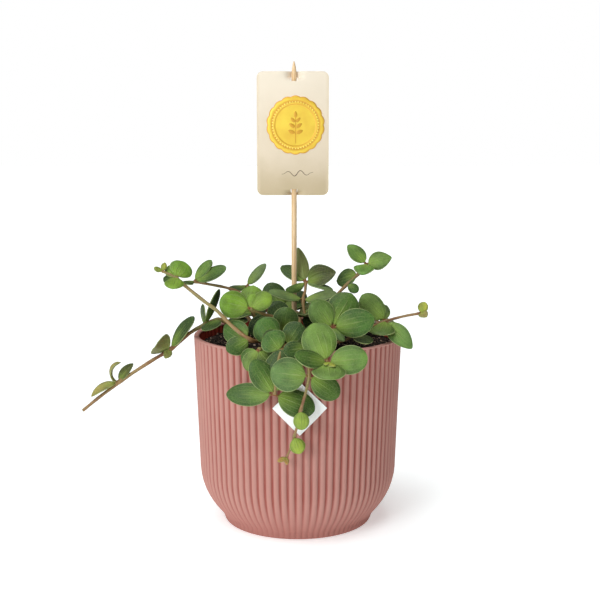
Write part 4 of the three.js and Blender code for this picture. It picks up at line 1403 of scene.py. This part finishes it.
# Every shoot of the plant, named as its solid
SHOOTS: dict[str, tuple[StemPlan, ...]] = {
    "shoot_left_trailing": (
        StemPlan(
            2.7,
            (
                (-36, -4, 110), (-37, -5, 122), (-44, -8, 133), (-53, -9, 138), (-62, -12, 135),
                (-71, -16, 130.5), (-84, -20, 120), (-96, -23, 113), (-118, -26, 99),
            ),
            {
                2: (Leaf(75, 12, 20, 15, 0, 20, Tone.DEEP), Leaf(-50, 2, 18, 14, 0, 20, Tone.MID)),
                3: (Leaf(-110, -12, 21, 13, 5, 20, Tone.DARK),),
                4: (Leaf(11, 67, 26, 10, 143, 20, Tone.DARK), Leaf(124, 80, 14, 9, -100, 20, Tone.DARK)),
                6: (
                    Leaf(7, 54, 27, 13, 29, 25, Tone.DARK), Leaf(-127, 14, 15, 19, 55, 30, Tone.OLIVE),
                    Leaf(-120, -40, 8, 6, -38, 20, Tone.STRAW),
                ),
                8: (
                    Leaf(0, 81, 18, 8, 14, 150, Tone.STRAW), Leaf(-167, -26, 20, 9, -23, 40, Tone.STRAW),
                    Leaf(33, 46, 16, 7, 39, 30, Tone.OLIVE),
                ),
            },
        ),
        StemPlan(
            2.4,
            ((-117, -26, 99.4), (-131, -28, 89), (-141, -30, 81)),
            {},
        ),
    ),
    "shoot_upper_left": (
        StemPlan(
            2.6,
            (
                (-16, -36, 110), (-18, -39, 122), (-23, -49, 130), (-30, -58, 133.5), (-41, -55, 141.5),
                (-51, -49, 150.5), (-59, -42, 155), (-73, -35, 165), (-78, -32, 169),
            ),
            {
                3: (Leaf(-149, -20, 17, 13, -57, 20, Tone.MID), Leaf(146, 19, 21, 16, -58, 15, Tone.MID)),
                8: (
                    Leaf(64, 40, 14, 16, 37, 25, Tone.BRIGHT), Leaf(-94, -21, 15, 13, -4, 20, Tone.BRIGHT),
                    Leaf(152, -3, 10, 9, -37, 20, Tone.DARK), Leaf(124, 36, 12, 10, -18, 20, Tone.BRIGHT),
                ),
            },
        ),
        StemPlan(
            1.8,
            ((-77, -32, 168.6), (-82, -31, 171), (-87, -30, 173)),
            {
                2: (Leaf(180, 24, 6, 4, -43, 10, Tone.YOUNG), Leaf(55, 65, 6, 4, 30, 10, Tone.YOUNG)),
            },
        ),
    ),
    "shoot_left_back": (
        StemPlan(
            2.2,
            (
                (-24, 12, 110), (-26, 12, 122), (-31, 11, 140), (-38, 12, 152), (-48, 12, 156.5),
                (-60, 12, 159), (-71, 12, 161),
            ),
            {
                2: (
                    Leaf(150, 20, 22, 17, -30, 20, Tone.DEEP), Leaf(95, 15, 20, 15, 0, 20, Tone.DEEP),
                    Leaf(-150, -10, 16, 13, 0, 20, Tone.DARK),
                ),
                6: (
                    Leaf(9, 50, 19, 9, 41, 15, Tone.SOFT), Leaf(-10, 24, 25, 11, 50, 15, Tone.MID),
                    Leaf(-139, -4, 9, 8, -11, 15, Tone.DARK),
                ),
            },
        ),
    ),
    "shoot_bright_whorl": (
        StemPlan(
            2.2,
            (
                (-1, -13, 110), (-2, -16, 122), (-8, -27, 139), (-15, -36, 144), (-23, -42, 147.5),
                (-30, -45, 151),
            ),
            {
                2: (
                    Leaf(148, 53, 16, 15, -46, 15, Tone.DARK), Leaf(178, 8, 20, 16, -10, 15, Tone.DEEP),
                    Leaf(-155, -28, 14, 14, -25, 15, Tone.DEEP),
                ),
                3: (Leaf(-165, -33, 19, 16, -64, 15, Tone.DEEP),),
                5: (
                    Leaf(-173, 15, 20, 18, -78, 15, Tone.BRIGHT), Leaf(81, 52, 17, 15, 12, 15, Tone.BRIGHT),
                    Leaf(33, 68, 10, 9, 52, 30, Tone.BRIGHT), Leaf(0, 33, 16, 12, 72, 15, Tone.BRIGHT),
                ),
            },
        ),
    ),
    "shoot_back_left": (
        StemPlan(
            2,
            ((-14, 24, 110), (-15, 25, 122), (-22, 27, 140), (-29, 29, 150), (-36, 32, 155)),
            {
                2: (Leaf(60, 20, 20, 16, 0, 20, Tone.DEEP), Leaf(25, 22, 17, 13, 0, 20, Tone.DARK)),
                4: (
                    Leaf(17, 48, 21, 9, 40, 15, Tone.GREY), Leaf(-155, -5, 14, 13, -9, 15, Tone.DARK),
                    Leaf(105, -10, 18, 15, 0, 20, Tone.DEEP),
                ),
            },
        ),
    ),
    "shoot_crown": (
        StemPlan(
            2.2,
            ((7, -9, 110), (7, -10, 122), (5, -12, 140), (3.5, -8, 151), (5, -1, 156), (5.5, 4, 161.5)),
            {
                2: (
                    Leaf(-118, 18, 17, 15, 0, 20, Tone.DEEP), Leaf(-55, 22, 20, 16, 0, 20, Tone.DEEP),
                    Leaf(25, 25, 20, 16, 0, 20, Tone.DEEP),
                ),
                3: (Leaf(-160, 15, 25, 14, -22, 20, Tone.GREY), Leaf(-24, 12, 25, 15, 26, 20, Tone.GREY)),
                5: (
                    Leaf(124, 67, 25, 10, 144, 15, Tone.OLIVE), Leaf(-11, 20, 22, 17, 66, 25, Tone.OLIVE),
                    Leaf(-136, -13, 19, 7, -37, -30, Tone.MID), Leaf(-34, -12, 22, 12, 3, 25, Tone.GREY),
                    Leaf(133, 21, 26, 12, -27, 15, Tone.DARK),
                ),
            },
        ),
    ),
    "shoot_upper_right": (
        StemPlan(
            2.2,
            (
                (14, 4, 110), (14, 3, 122), (18, -1, 144), (24, 0, 151), (34, 2, 161), (41, 2, 167.5),
                (46, 2, 174),
            ),
            {
                2: (Leaf(70, 10, 21, 17, 0, 20, Tone.DEEP), Leaf(-25, 12, 20, 16, 0, 20, Tone.DARK)),
                4: (Leaf(-43, -31, 10, 7, 49, 15, Tone.MID),),
                5: (Leaf(156, -20, 17, 14, -58, 15, Tone.DARK),),
                6: (
                    Leaf(162, 44, 18, 13, -41, 20, Tone.FRESH), Leaf(-10, 16, 18, 14, 72, 15, Tone.FRESH),
                    Leaf(-103, -18, 17, 15, -3, 20, Tone.FRESH),
                ),
            },
        ),
    ),
    "shoot_right": (
        StemPlan(
            2.4,
            ((15, -26, 110), (15, -28, 122), (17, -39, 131), (22, -50, 139.5)),
            {
                3: (
                    Leaf(171, 53, 21, 17, -76, 12, Tone.SOFT), Leaf(39, 52, 26, 21, 49, 12, Tone.MID),
                    Leaf(-4, 13, 27, 19, 78, 15, Tone.MID), Leaf(-39, -40, 12, 10, 3, 15, Tone.GREY),
                ),
            },
        ),
        StemPlan(
            2,
            (
                (16, -35, 126), (29, -44, 130), (35, -42, 133), (47, -34, 137), (57, -28, 140),
                (69, -26, 143), (80, -26, 145),
            ),
            {
                2: (Leaf(-34, -10, 15, 12, 11, 20, Tone.DARK),),
                4: (
                    Leaf(165, 47, 23, 15, -64, 15, Tone.SOFT), Leaf(108, 37, 16, 12, -20, 15, Tone.MID),
                    Leaf(-110, -22, 17, 18, -5, 15, Tone.SOFT), Leaf(-38, -37, 26, 14, 50, 20, Tone.FRESH),
                ),
                6: (Leaf(33, 62, 8, 7, 46, 15, Tone.YOUNG), Leaf(-59, -13, 7, 7, 31, 15, Tone.STRAW)),
            },
        ),
    ),
    "shoot_front": (
        StemPlan(
            2.4,
            (
                (8, -36, 110), (8, -38, 122), (10, -50, 128.5), (13, -62, 130.5), (15, -70, 130),
                (17, -76, 127), (18, -79, 123),
            ),
            {
                6: (
                    Leaf(133, 61, 26, 22, -43, 12, Tone.SOFT), Leaf(-9, 9, 25, 18, 77, 12, Tone.SOFT),
                    Leaf(-153, 16, 23, 13, -51, 15, Tone.MID), Leaf(-85, -22, 18, 21, 1, 20, Tone.SOFT),
                    Leaf(-62, -5, 9, 5, 4, 10, Tone.YOUNG), Leaf(-98, 0, 7, 4, -2, 10, Tone.YOUNG),
                ),
            },
        ),
        StemPlan(
            2,
            (
                (9, -46, 126), (5, -58, 130), (6, -70, 130.3), (6.5, -77, 123), (7, -80, 115),
                (5, -81, 105), (2, -81, 94), (0, -78, 84), (-2, -76, 76),
            ),
            {
                2: (Leaf(-154, -2, 16, 12, -63, 12, Tone.DARK),),
                4: (Leaf(-170, 7, 24, 22, -73, 12, Tone.GREY), Leaf(-6, -34, 22, 15, 72, 12, Tone.MID)),
                6: (Leaf(-79, -75, 12, 10, 11, 15, Tone.LIME),),
                8: (Leaf(-39, -64, 11, 10, 46, 15, Tone.LIME),),
            },
        ),
        StemPlan(
            1.5,
            ((-2, -76, 76.5), (-4, -75, 69), (-7, -74, 62)),
            {
                2: (Leaf(-158, -16, 6, 3.5, -56, 10, Tone.AMBER), Leaf(-81, -41, 5, 3.5, 8, 10, Tone.AMBER)),
            },
        ),
    ),
    "shoot_front_left": (
        StemPlan(
            2.2,
            (
                (-3, -33, 110), (-3, -36, 122), (-4, -50, 129), (-7, -64, 130.5), (-10, -72, 129),
                (-12, -77, 120), (-13, -78, 111), (-14, -78, 103),
            ),
            {
                3: (Leaf(25, 55, 17, 15, 57, 12, Tone.DARK), Leaf(-176, 30, 16, 13, -55, 15, Tone.DARK)),
                4: (Leaf(166, 50, 14, 17, -68, 12, Tone.MID),),
                7: (
                    Leaf(165, -3, 31, 15, -71, 12, Tone.MID), Leaf(175, 58, 25, 16, -70, 12, Tone.MID),
                    Leaf(36, 74, 28, 21, 52, 12, Tone.DARK), Leaf(8, -24, 27, 17, 75, 12, Tone.MID),
                ),
            },
        ),
    ),
    "shoot_middle": (
        StemPlan(
            2.2,
            (
                (-9, -24, 110), (-9, -26, 122), (-9, -40, 134), (-13, -56, 131.5), (-18, -64, 130),
                (-24, -69.5, 129.4),
            ),
            {
                2: (Leaf(-49, 77, 18, 17, 137, 12, Tone.MID),),
                3: (Leaf(161, 48, 18, 18, -66, 12, Tone.MID),),
                5: (
                    Leaf(170, -50, 14, 14, -75, 15, Tone.MID), Leaf(-12, -52, 16, 13, 68, 15, Tone.DEEP),
                    Leaf(-175, -62, 15, 12, -80, 15, Tone.SOFT),
                ),
            },
        ),
    ),
    "shoot_inner": (
        StemPlan(
            2.2,
            ((22, -14, 110), (22, -15, 122), (24, -20, 134), (22, -24, 142)),
            {
                2: (
                    Leaf(165, 15, 22, 17, -45, 20, Tone.DEEP), Leaf(15, -5, 20, 16, 30, 20, Tone.DARK),
                    Leaf(-70, -5, 17, 14, 20, 20, Tone.DEEP),
                ),
                3: (Leaf(45, -5, 19, 16, 20, 20, Tone.DARK),),
            },
        ),
    ),
    "shoot_centre": (
        StemPlan(
            2.2,
            ((-2, 12, 110), (-2, 13, 122), (-7, 17, 133), (-10, 20, 140)),
            {
                1: (Leaf(-150, 12, 22, 17, 0, 20, Tone.DEEP), Leaf(-30, 10, 14, 13, 0, 20, Tone.DEEP)),
                3: (
                    Leaf(-120, 12, 20, 16, 0, 20, Tone.DARK), Leaf(0, 15, 19, 15, 0, 20, Tone.MID),
                    Leaf(20, 35, 20, 15, 50, 20, Tone.DEEP), Leaf(152, 54, 22, 17, -56, 15, Tone.DARK),
                ),
            },
        ),
    ),
    "shoot_back_hanging": (
        StemPlan(
            2.4,
            (
                (2, 34, 110), (2, 36, 122), (1, 50, 130), (0, 62, 131.5), (-1, 72, 129.5), (-2, 78, 121),
                (-3, 79, 108),
            ),
            {
                2: (Leaf(160, 20, 22, 17, 0, 20, Tone.MID), Leaf(20, 25, 22, 17, 0, 20, Tone.DARK)),
                4: (Leaf(170, 20, 24, 18, 60, 15, Tone.SOFT), Leaf(10, 15, 24, 18, -60, 15, Tone.MID)),
                6: (
                    Leaf(-175, 20, 23, 18, 80, 12, Tone.MID), Leaf(5, 10, 23, 17, -80, 12, Tone.SOFT),
                    Leaf(80, -30, 18, 15, 0, 20, Tone.MID),
                ),
            },
        ),
        StemPlan(
            1.7,
            ((-3, 79, 108.5), (-5, 78, 98), (-8, 76, 86)),
            {
                2: (
                    Leaf(150, 10, 13, 10, 60, 15, Tone.SOFT), Leaf(10, 0, 13, 10, -60, 15, Tone.BRIGHT),
                    Leaf(-120, -75, 10, 7, 180, 15, Tone.YOUNG),
                ),
            },
        ),
    ),
    "shoot_back_right": (
        StemPlan(
            2.2,
            ((26, 16, 110), (27, 17, 122), (36, 28, 134), (46, 40, 138), (53, 50, 134), (58, 56, 126)),
            {
                2: (Leaf(-40, 20, 22, 17, 0, 20, Tone.DARK), Leaf(130, 20, 22, 17, 0, 20, Tone.MID)),
                3: (Leaf(-30, 10, 20, 16, -20, 20, Tone.MID), Leaf(110, 10, 20, 16, 20, 20, Tone.DARK)),
                5: (
                    Leaf(-35, -10, 21, 17, -50, 15, Tone.SOFT), Leaf(125, -5, 21, 17, 50, 15, Tone.MID),
                    Leaf(45, -50, 17, 14, 0, 20, Tone.MID),
                ),
            },
        ),
    ),
    "shoot_back_corner": (
        StemPlan(
            2.2,
            ((-28, 28, 110), (-29, 30, 122), (-36, 40, 132), (-43, 50, 132), (-49, 57, 128), (-52, 61, 120)),
            {
                2: (Leaf(50, 15, 18, 15, 0, 20, Tone.DARK), Leaf(-160, 5, 20, 16, 0, 20, Tone.MID)),
                5: (
                    Leaf(40, 0, 22, 17, -55, 15, Tone.MID), Leaf(-150, 0, 22, 17, 50, 15, Tone.SOFT),
                    Leaf(130, -50, 18, 14, 0, 20, Tone.DARK),
                ),
            },
        ),
    ),
}


@dataclass
class Blade:
    """The one leaf blade that every leaf is bent from."""

    columns: int = 12
    rows: int = 24
    petiole_share: float = 0.1
    petiole_width: float = 1.5
    middle_thickness: float = 1.25
    rim_thickness: float = 0.45
    edge_drop: float = 0.1
    skew: float = 1.08
    bluntness: float = 0.005
    petiole_end: float = 0.45
    tip_reach: float = 0.14
    tip_thickness: float = 0.45
    more_point: tuple[float, float] = (0.0, 0.2)
    more_cup: tuple[float, float] = (-0.05, 0.12)
    ripple: float = 0.018
    ripple_waves: tuple[float, float] = (1.6, 2.6)
    ripple_shift: float = 6.28
    twist: float = 0.05
    tint_spread: float = 0.08
    light_spread: float = 0.1

    def __post_init__(self) -> None:
        """Makes the flat blade: a grid given two faces, with its places across, along and through kept."""
        start_clean()
        bpy.ops.mesh.primitive_grid_add(x_subdivisions=self.columns, y_subdivisions=self.rows, size=2.0)
        self.master = new_piece("blade_master")
        finish_modifier(self.master, "SOLIDIFY", thickness=1.0, offset=0.0)
        flat = read_points(self.master)
        self.across = np.sin(flat[:, 0] * math.pi / 2)
        along = (flat[:, 1] + 1) / 2
        stalk = 3 / self.rows
        blade_along = np.clip((along - stalk) / (1 - stalk), 0, 1)
        spread = (1 - np.cos(blade_along * math.pi)) / 2
        self.share = np.where(
            along < stalk,
            along / stalk * self.petiole_share,
            self.petiole_share + spread * (1 - self.petiole_share),
        )
        self.level = np.sign(flat[:, 2]) / 2
        self.stretch_map()

    def stretch_map(self) -> None:
        """Sets the UV map across and along the blade as it will be spread."""
        mesh = self.master.data
        for loop, place in zip(mesh.loops, mesh.uv_layers["UVMap"].data):
            place.uv = (self.across[loop.vertex_index] / 2 + 0.5, self.share[loop.vertex_index])

    def half_width(self, width: float, point: float) -> np.ndarray:
        """Gives half the width at each point of the master: a stalk that opens into an oval.

        Args:
            width: Width of the oval.
            point: How far the oval is drawn in towards its tip, from 0 to 1.

        Returns:
            Half widths.
        """
        share = np.clip((self.share - self.petiole_share) / (1 - self.petiole_share), 0, 1)
        oval = width / 2 * np.sqrt(np.clip(1 - (2 * share**self.skew - 1) ** 2, self.bluntness, 1))
        oval = oval * (1 - point * share**2.5)
        stalk = self.petiole_width / 2 * np.where(self.share < self.petiole_end, 1 - 0.3 * share, 0.0)
        return np.maximum(oval, stalk)

    def bent(self, root: Point, leaf: Leaf, dice: np.random.Generator) -> np.ndarray:
        """Gives the points of one leaf.

        Args:
            root: Where it leaves its stem.
            leaf: Its direction and size.
            dice: Source of its small differences.

        Returns:
            Rows of X, Y and Z in millimetres.
        """
        along, face, side = leaf_frame(leaf.turn, leaf.lift, leaf.roll)
        bend = math.radians(leaf.arch)
        angle = bend * (self.share - 0.5)
        reach = leaf.length / bend * (np.sin(angle) + math.sin(bend / 2))
        rise = leaf.length / bend * (np.cos(angle) - math.cos(bend / 2))
        half = self.half_width(leaf.width, POINTS.get(leaf.tone, 0.0) + dice.uniform(*self.more_point))
        normal = np.outer(np.cos(angle), face) + np.outer(np.sin(angle), along)
        fullness = np.sqrt(np.clip(1 - self.across**2, 0, 1))
        thick = self.rim_thickness + (self.middle_thickness - self.rim_thickness) * fullness
        thick = thick * np.clip((1.02 - self.share) / self.tip_reach, self.tip_thickness, 1)
        cup = self.edge_drop + dice.uniform(*self.more_cup)
        drop = cup * half * self.across**2
        phase, waves = dice.uniform(0, self.ripple_shift), dice.uniform(*self.ripple_waves)
        ripple = self.ripple * leaf.width * self.across**2 * np.sin(waves * math.pi * self.share + phase)
        twist = dice.uniform(-self.twist, self.twist) * self.across * half * self.share
        fold = FOLDS.get(leaf.tone, 0.0) * half * np.abs(self.across)
        height = self.level * thick - drop + ripple + twist + fold
        centre = np.array(root) + np.outer(reach, along) + np.outer(rise, face)
        return centre + np.outer(self.across * half, side) + normal * height[:, None]

    def leaf(
        self, root: Point, leaf: Leaf, dice: np.random.Generator, flesh: bpy.types.Material
    ) -> bpy.types.Object:
        """Makes one leaf from its own copy of the master.

        Args:
            root: Where it leaves its stem.
            leaf: Its direction, size and tone.
            dice: Source of its small differences.
            flesh: Its material.

        Returns:
            The leaf, in metres.
        """
        piece = self.master.copy()
        piece.data = self.master.data.copy()
        bpy.context.scene.collection.objects.link(piece)
        write_points(piece, self.bent(root, leaf, dice) * MM)
        tint = np.array(shade(leaf.tone.value))
        tint[:3] *= 1 + dice.uniform(-self.tint_spread, self.tint_spread, 3)
        tint[:3] *= 1 + dice.uniform(-self.light_spread, self.light_spread)
        write_colour(piece, "leaf_tint", tuple(tint))
        write_numbers(piece, "leaf_under", (self.level < 0).astype(float))
        piece.data.materials.clear()
        piece.data.materials.append(flesh)
        return piece

    def discard(self) -> None:
        """Removes the master once every leaf is made."""
        bpy.data.objects.remove(self.master)


def leaf_frame(turn: float, lift: float, roll: float) -> tuple[np.ndarray, np.ndarray, np.ndarray]:
    """Gives a leaf's own directions.

    Args:
        turn: Heading from +X.
        lift: Rise over the level.
        roll: Turn about its own midrib. At 0 its face looks as far up as it can.

    Returns:
        Directions along the midrib, out of the upper face and to the side.
    """
    heading, rise = math.radians(turn), math.radians(lift)
    along = Vector((math.cos(rise) * math.cos(heading), math.cos(rise) * math.sin(heading), math.sin(rise)))
    face = (Vector((0, 0, 1)) - along * along.z).normalized()
    face.rotate(Quaternion(along, math.radians(roll)))
    side = face.cross(along)
    return np.array(along), np.array(face), np.array(side)


class StemLine:
    """A smooth line through a stem's points, the same centripetal one as the solid's."""

    def __init__(self, path: Sequence[Point]) -> None:
        """Keeps the points, with one more past each end."""
        points = [np.array(point, dtype=float) for point in path]
        self.points = [2 * points[0] - points[1], *points, 2 * points[-1] - points[-2]]

    def span(self, index: int, share: float) -> np.ndarray:
        """Gives the place at a share of one span.

        Args:
            index: Number of the span.
            share: From 0 at its start to 1 at its end.

        Returns:
            The place.
        """
        before, start, end, after = self.points[index : index + 4]
        pairs = ((before, start), (start, end), (end, after))
        first, middle, last = (math.sqrt(np.linalg.norm(b - a)) for a, b in pairs)
        own = (end - start) / middle
        leave = ((start - before) / first - (end - before) / (first + middle) + own) * middle
        arrive = (own - (after - start) / (middle + last) + (after - end) / last) * middle
        square = -3 * start + 3 * end - 2 * leave - arrive
        cube = 2 * start - 2 * end + leave + arrive
        return start + leave * share + square * share**2 + cube * share**3

    def trace(self, step: float) -> list[tuple[np.ndarray, float]]:
        """Follows the line.

        Args:
            step: Distance between places.

        Returns:
            Each place with its number along the path, where whole numbers are the path's own points.
        """
        places = []
        for index in range(len(self.points) - 3):
            length = np.linalg.norm(self.points[index + 2] - self.points[index + 1])
            count = max(2, round(length / step))
            places += [(self.span(index, i / count), index + i / count) for i in range(count)]
        places.append((self.points[-2], float(len(self.points) - 3)))
        return places


@dataclass
class Shoot:
    """One shoot: its stems as tapering tubes with swollen joints, and its leaves."""

    name: str
    stems: tuple[StemPlan, ...]
    blade: Blade
    flesh: bpy.types.Material
    bark: bpy.types.Material
    seed: int
    step: float = 1.4
    swell: float = 0.34
    joint_reach: float = 0.22
    thinning: float = 0.16
    waver: float = 0.05
    waver_rate: float = 7.3

    def build(self) -> None:
        """Makes the shoot as one piece."""
        dice = np.random.default_rng(self.seed)
        pieces = [self.stem(plan) for plan in self.stems]
        for plan in self.stems:
            for index, leaves in plan.whorls.items():
                pieces += [self.blade.leaf(plan.path[index], leaf, dice, self.flesh) for leaf in leaves]
        shoot = join(pieces, "plant_" + self.name)
        smooth(shoot)
        hand_over(shoot, "leaves", self.name)

    def stem(self, plan: StemPlan) -> bpy.types.Object:
        """Makes one stem.

        Args:
            plan: Its girth, path and whorls.

        Returns:
            The stem, in metres.
        """
        trace = StemLine(plan.path).trace(self.step)
        data = bpy.data.curves.new(self.name, "CURVE")
        data.dimensions = "3D"
        data.bevel_depth = plan.girth / 2 * MM
        data.bevel_resolution = 3
        data.use_fill_caps = True
        line = data.splines.new("POLY")
        line.points.add(len(trace) - 1)
        for point, (place, number) in zip(line.points, trace):
            point.co = (*(place * MM).tolist(), 1.0)
            joint = min((abs(number - index) for index in plan.whorls), default=math.inf)
            swelling = self.swell * math.exp(-((joint / self.joint_reach) ** 2))
            taper = 1 - self.thinning * number / (len(plan.path) - 1)
            point.radius = taper + swelling + self.waver * math.sin(self.waver_rate * number)
        stem = bpy.data.objects.new(self.name, data)
        bpy.context.scene.collection.objects.link(stem)
        pick(stem)
        bpy.ops.object.convert(target="MESH")
        stem = new_piece(self.name + "_stem")
        bpy.ops.object.mode_set(mode="EDIT")
        bpy.ops.mesh.select_all(action="SELECT")
        bpy.ops.mesh.remove_doubles(threshold=0.000001)
        bpy.ops.mesh.normals_make_consistent(inside=False)
        bpy.ops.object.mode_set(mode="OBJECT")
        stem.data.materials.clear()
        stem.data.materials.append(self.bark)
        return stem


@dataclass
class Plant:
    """All the shoots."""

    first_seed: int = 40

    def build(self) -> None:
        """Makes every shoot with its own small differences."""
        blade = Blade()
        flesh, bark = LeafFinish().build(), StemFinish().build()
        for seed, (name, stems) in enumerate(SHOOTS.items(), self.first_seed):
            Shoot(name, stems, blade, flesh, bark, seed).build()
        blade.discard()


# Studio


@dataclass
class Studio:
    """White floor, soft light from the upper left and the camera."""

    camera_place: Point = (1.55, -720.0, 254.0)
    camera_pitch: float = 8.22
    lens: float = 64.68
    world_strength: tuple[float, float] = (0.32, 0.03)
    world_reach: float = 0.8
    floor_size: float = 24.0
    floor_colour: str = "#F4FAFA"
    floor_glow: float = 0.45
    sun_strength: float = 1.8
    sun_from: Point = (-0.17, -0.18, 0.97)
    sun_spread: float = 50.0
    lamp_tint: Point = (0.94, 1.0, 1.03)
    lamp_place: Point = (-0.9, -1.4, 0.7)
    lamp_target: Point = (0.0, 0.0, 0.12)
    lamp_size: float = 0.7
    lamp_watts: float = 13.5

    def build(self) -> None:
        """Makes the studio."""
        self.build_floor()
        self.build_world()
        self.build_sun()
        self.build_softbox()
        self.build_camera()

    def build_floor(self) -> None:
        """Makes the floor."""
        start_clean()
        bpy.ops.mesh.primitive_plane_add(size=self.floor_size)
        floor = new_piece("studio_floor")
        finish = Finish("white_floor")
        finish.surface(Base_Color=shade(self.floor_colour), Roughness=0.95, Specular_IOR_Level=0.1)
        finish.surface(Emission_Color=WHITE, Emission_Strength=self.floor_glow)
        floor.data.materials.append(finish.material)

    def build_world(self) -> None:
        """Makes the surroundings: white to the eye, and as light softer and dimmer towards the right."""
        world = bpy.data.worlds.new("white_studio")
        bpy.context.scene.world = world
        world.use_nodes = True
        tree = world.node_tree
        paths = tree.nodes.new("ShaderNodeLightPath")
        sides = tree.nodes.new("ShaderNodeSeparateXYZ")
        tree.links.new(tree.nodes.new("ShaderNodeTexCoord").outputs["Generated"], sides.inputs["Vector"])
        dimming = tree.nodes.new("ShaderNodeMapRange")
        dimming.inputs["From Min"].default_value = -self.world_reach
        dimming.inputs["From Max"].default_value = self.world_reach
        dimming.inputs["To Min"].default_value = self.world_strength[0]
        dimming.inputs["To Max"].default_value = self.world_strength[1]
        tree.links.new(sides.outputs["X"], dimming.inputs["Value"])
        strength = tree.nodes.new("ShaderNodeMapRange")
        tree.links.new(dimming.outputs["Result"], strength.inputs["To Min"])
        strength.inputs["To Max"].default_value = 1.0
        tree.links.new(paths.outputs["Is Camera Ray"], strength.inputs["Value"])
        tree.links.new(strength.outputs["Result"], tree.nodes["Background"].inputs["Strength"])
        tree.nodes["Background"].inputs["Color"].default_value = WHITE

    def build_sun(self) -> None:
        """Makes the soft light from the upper left that lays the shadow on the right."""
        light = bpy.data.lights.new("soft_sun", "SUN")
        light.energy = self.sun_strength
        light.angle = math.radians(self.sun_spread)
        sun = bpy.data.objects.new("soft_sun", light)
        sun.rotation_euler = (-Vector(self.sun_from)).to_track_quat("-Z", "Y").to_euler()
        bpy.context.scene.collection.objects.link(sun)

    def build_softbox(self) -> None:
        """Hangs the square softbox at the front left. Its place and size are in metres."""
        light = bpy.data.lights.new("key_softbox", "AREA")
        light.size = self.lamp_size
        light.energy = self.lamp_watts
        light.color = self.lamp_tint
        lamp = bpy.data.objects.new("key_softbox", light)
        lamp.location = self.lamp_place
        aim = Vector(self.lamp_target) - Vector(self.lamp_place)
        lamp.rotation_euler = aim.to_track_quat("-Z", "Y").to_euler()
        bpy.context.scene.collection.objects.link(lamp)

    def build_camera(self) -> None:
        """Makes the camera at the picture's angle."""
        data = bpy.data.cameras.new("camera")
        data.lens = self.lens
        data.sensor_fit = "HORIZONTAL"
        data.sensor_width = 36.0
        data.clip_end = 50.0
        camera = bpy.data.objects.new("camera", data)
        camera.location = Vector(self.camera_place) * MM
        camera.rotation_euler = (math.radians(90 - self.camera_pitch), 0, 0)
        bpy.context.scene.collection.objects.link(camera)
        scene = bpy.context.scene
        scene.camera = camera
        scene.view_settings.view_transform = "Standard"


def main() -> None:
    """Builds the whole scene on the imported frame."""
    logging.basicConfig(level=logging.INFO, format="%(message)s")
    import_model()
    Studio().build()
    FlutedPot().build()
    SoilBed().build()
    MarkerStick().build()
    NameCard().build()
    PotLabel().build()
    Plant().build()
    start_clean()


if __name__ == "__main__":
    main()
